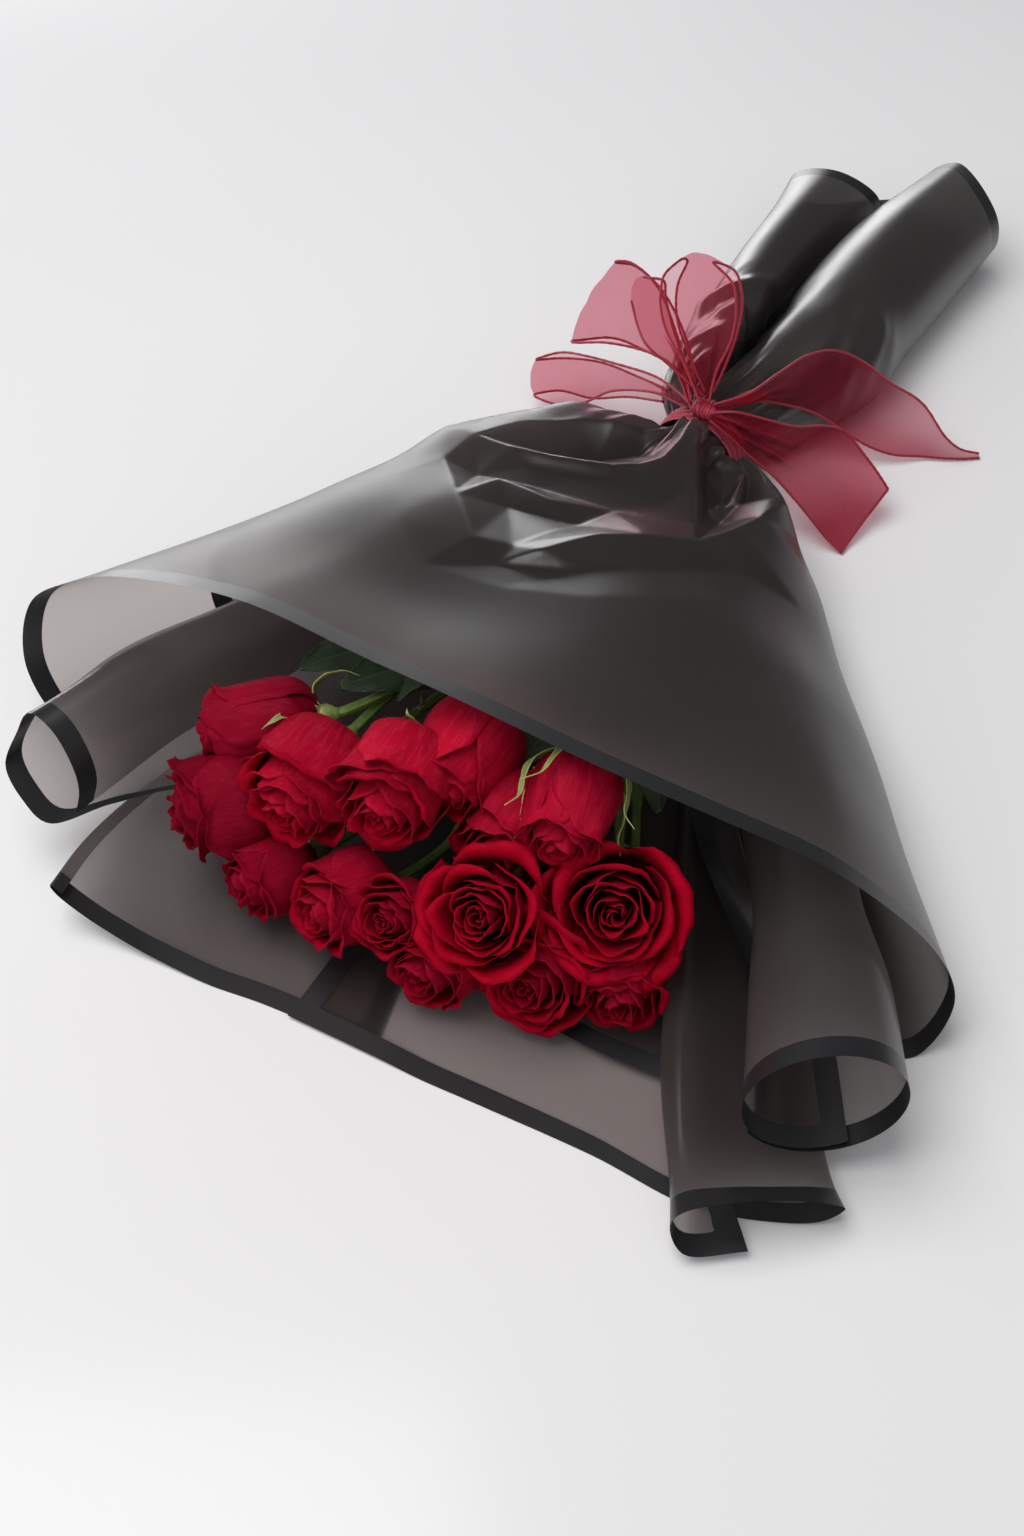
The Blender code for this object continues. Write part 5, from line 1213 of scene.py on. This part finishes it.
# length of ribbon in each piece and the area of it that the piece holds, in m and m2
RIBBON_FLAT = {"bow_loop_upper": (0.175, 0.0062), "bow_loop_left": (0.218, 0.0088), "bow_loop_inner": (0.084, 0.0017), "bow_loop_low": (0.240, 0.0060),
               "bow_tail_upper": (0.200, 0.0070), "bow_tail_lower": (0.115, 0.0049)}


def gathered_strip(name, nu, nv):
    """The strip with its gathers: where it is drawn together, it stands in soft folds along its length."""
    g = ribbon(name, nu, nv)
    rng = random.Random(name)
    wide = np.linalg.norm(g[:, -1] - g[:, 0], axis=1)
    near = 1 - step(np.linalg.norm(g.mean(1) - KNOT, axis=1), 22, 62)
    ratio = 1 + near * (np.clip(0.92 * wide.max() / np.maximum(wide, 5), 1.0, 2.6) - 1)
    slope = 2.0 * np.sqrt(ratio - 1) * (1 + 0.22 * (ratio - 1)) + 0.10
    count = 2.5
    size = slope * wide / (2 * math.pi * count)
    u = np.linspace(0, 1, nu)[None, :]
    v = np.linspace(0, 1, nv)[:, None]
    p1, p2 = rng.uniform(0, 6.28), rng.uniform(0, 6.28)
    warp = u + 0.060 * np.sin(2 * math.pi * u + p1 + 2.2 * v) + 0.03 * np.sin(5 * math.pi * u + p2 - 3 * v)
    fade = np.sin(math.pi * np.clip(u, 0, 1)) ** 0.5
    wave = np.sin(2 * math.pi * count * warp + p2) * fade
    n = normals(g)
    soft = 1.1 * waves(g, name + "w", 6, 30, 90)
    g = g + n * ((wave * size[:, None]) + soft * step(v, 0.0, 0.1) * np.clip(wide / 40, 0, 1)[:, None])[..., None]
    if name.startswith("bow_loop"):   # the loop's far end turns tighter at its two edges, so it looks rounded
        middle = g.mean(1)
        away = np.linalg.norm(middle - KNOT, axis=1)
        top = int(np.argmax(away))
        run = np.concatenate([[0], np.cumsum(np.linalg.norm(np.diff(middle, axis=0), axis=1))])
        pull = 4.0 * np.abs(2 * u - 1) ** 2.4 * np.exp(-((run - run[top]) / 17) ** 2)[:, None]
        g = g - (middle[top] - KNOT) / away[top] * pull[..., None]
    g[..., 2] = np.maximum(g[..., 2], 0.9)
    return g


for name, long in RIBBON_FLAT.items():
    g = gathered_strip(name, 61, 150)
    b = Build()
    along_m = np.concatenate([[0], np.cumsum(np.linalg.norm(np.diff(g.mean(1), axis=0), axis=1))]) * 0.001
    uv = np.stack(np.broadcast_arrays(np.linspace(0, RIBBON_WIDTH * 0.001, g.shape[1])[None, :], along_m[:, None]), -1)
    b.grid(g, uv=uv)
    # painted shade on the tails: their second point value makes them darker and less see-through
    cloth = b.object(name + "_organza", [RIBBON_LOOK], 0 * g[..., 0] + {"bow_tail_upper": 0.45, "bow_tail_lower": 0.80}.get(name, 0.0))
    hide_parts(name)
    e = Build()
    rng = random.Random(name + "e")
    for k in (0, -1):
        line = g[:, k]
        r = 0.72 + 0.08 * np.sin(np.linspace(0, 260, len(line)))
        e.tube(line, r, 0, 8)
    if name == "bow_tail_lower":
        e.tube(g[-1], 0.75, 0, 8)
    edges = e.object(name + "_edges", [EDGE_LOOK])

# the knot: a short wrap of the ribbon, folded, its folds running round it
b = Build()
x = np.linspace(-1, 1, 61)[:, None]
th = np.linspace(0, 2 * math.pi, 96, endpoint=False)[None, :]
swell = (1 - np.abs(x) ** 3.2) ** 0.42 * (0.92 + 0.10 * np.sin(th * 2 + 1))
fold = 1 + 0.085 * np.sin(17 * x + 1.1 * np.sin(th + 0.6) + 0.8 * np.sin(3 * th)) * (1 - x ** 4) + 0.03 * np.sin(33 * x + 2 * np.sin(2 * th))
g = np.stack(np.broadcast_arrays(KNOT[0] + x * KNOT_SIZE[0] / 2 + 0 * th, KNOT[1] + KNOT_SIZE[1] / 2 * swell * fold * np.cos(th), KNOT[2] + KNOT_SIZE[2] / 2 * swell * fold * np.sin(th)), -1)
b.grid(g, uv=np.stack(np.broadcast_arrays(th / 6.2832, x), -1), wrap=True)
knot = b.object("ribbon_knot_wrap", [KNOT_LOOK])
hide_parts("ribbon_knot")

# the band round the waist, gathered, and the twine round the stems
b = Build()
t = np.linspace(-1, 1, 45)[:, None]
th = np.linspace(0, 2 * math.pi, 200, endpoint=False)[None, :]
r = 25.1 + 0.45 * np.sin(11 * t + 0.7 * np.sin(3 * th) + 0.5 * np.sin(7 * th + 1)) * (1 - t ** 6) + 2.3 * np.exp(-(np.angle(np.exp(1j * (th - 1.50))) / 0.24) ** 2) * (1 - t ** 2)
half = 8.2 * (0.94 + 0.06 * np.sin(2 * th + 0.5) + 0.03 * np.sin(5 * th))
g = np.stack(np.broadcast_arrays(WAIST[0] + r * np.cos(th), WAIST[1] + half * t, WAIST[2] + r * np.sin(th)), -1)
b.grid(g, uv=np.stack(np.broadcast_arrays(th / 6.2832, t), -1), wrap=True)
band = b.object("ribbon_band_wrap", [KNOT_LOOK])
thick(band, 0.35, 0.0)
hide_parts("ribbon_band")

b = Build()
w = np.linspace(0, 3.3 * 2 * math.pi, 260)
b.tube(np.stack([WAIST[0] + 13.62 * np.cos(w), WAIST[1] - 2.3 + 4.6 * w / w[-1], WAIST[2] + 13.62 * np.sin(w)], 1), 0.55, 0, 10)
twine = b.object("stem_tie_twine", [TIE_LOOK])
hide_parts("stem_tie")


# ---------------------------------------------------------------- table, light and camera
def floor():
    n = Net("pale_table_look")
    cloud = n.noise(3.0, 3.0, 0.5)
    shader = n.add("BsdfPrincipled", Base_Color=n.mix(cloud, (0.83, 0.83, 0.845, 1), (0.86, 0.86, 0.872, 1)), Roughness=0.16, Specular_IOR_Level=0.35)
    mesh = bpy.data.meshes.new("table")
    mesh.from_pydata([(-4, -4, 0), (4, -4, 0), (4, 4, 0), (-4, 4, 0)], [], [(0, 1, 2, 3)])
    mesh.materials.append(n.done(shader))
    obj = bpy.data.objects.new("table", mesh)
    bpy.context.scene.collection.objects.link(obj)


def area_light(name, at, to, size, power, colour=(1, 1, 1)):
    data = bpy.data.lights.new(name, "AREA")
    data.shape = "RECTANGLE"
    data.size, data.size_y = size
    data.energy = power
    data.color = colour
    obj = bpy.data.objects.new(name, data)
    obj.location = at
    obj.rotation_euler = (Vector(to) - Vector(at)).to_track_quat("-Z", "Y").to_euler()
    bpy.context.scene.collection.objects.link(obj)


floor()
area_light("window", (-1.75, 1.20, 0.26), (0.0, 0.0, 0.22), (2.6, 0.44), 23, (0.985, 0.99, 1.0))
area_light("room", (-0.45, -0.62, 2.0), (0.0, -0.25, 0.05), (1.8, 1.4), 31, (1.0, 0.98, 0.965))
world = bpy.data.worlds.new("room")
world.use_nodes = True
wt = world.node_tree   # the room: bright behind the camera, darker beyond the table
way = wt.nodes.new("ShaderNodeSeparateXYZ")
wt.links.new(wt.nodes.new("ShaderNodeTexCoord").outputs["Generated"], way.inputs[0])
fall = wt.nodes.new("ShaderNodeMapRange")
fall.interpolation_type = "SMOOTHSTEP"
for k, v in (("From Min", -0.75), ("From Max", 0.30), ("To Min", 0.95), ("To Max", 0.13)):
    fall.inputs[k].default_value = v
wt.links.new(way.outputs[1], fall.inputs["Value"])
wt.links.new(fall.outputs[0], wt.nodes["Background"].inputs["Strength"])
wt.nodes["Background"].inputs["Color"].default_value = (0.95, 0.945, 0.965, 1)
bpy.context.scene.world = world
bpy.context.scene.view_settings.view_transform = "Standard"

eye = place((360.33, -854.43, 688.6))
ahead = Vector((-0.3471, 0.6160, -0.7071)).normalized()
right = Vector((math.cos(math.radians(29.4)), math.sin(math.radians(29.4)), 0))
up = right.cross(ahead)
camera = bpy.data.cameras.new("camera")
camera.lens = 47.34
camera.sensor_width = 36.0
camera.clip_start, camera.clip_end = 0.05, 20
seat = bpy.data.objects.new("camera", camera)
turn = Matrix((right, up, -ahead)).transposed()
seat.matrix_world = Matrix.Translation(Vector(eye)) @ turn.to_4x4()
bpy.context.scene.collection.objects.link(seat)
bpy.context.scene.camera = seat
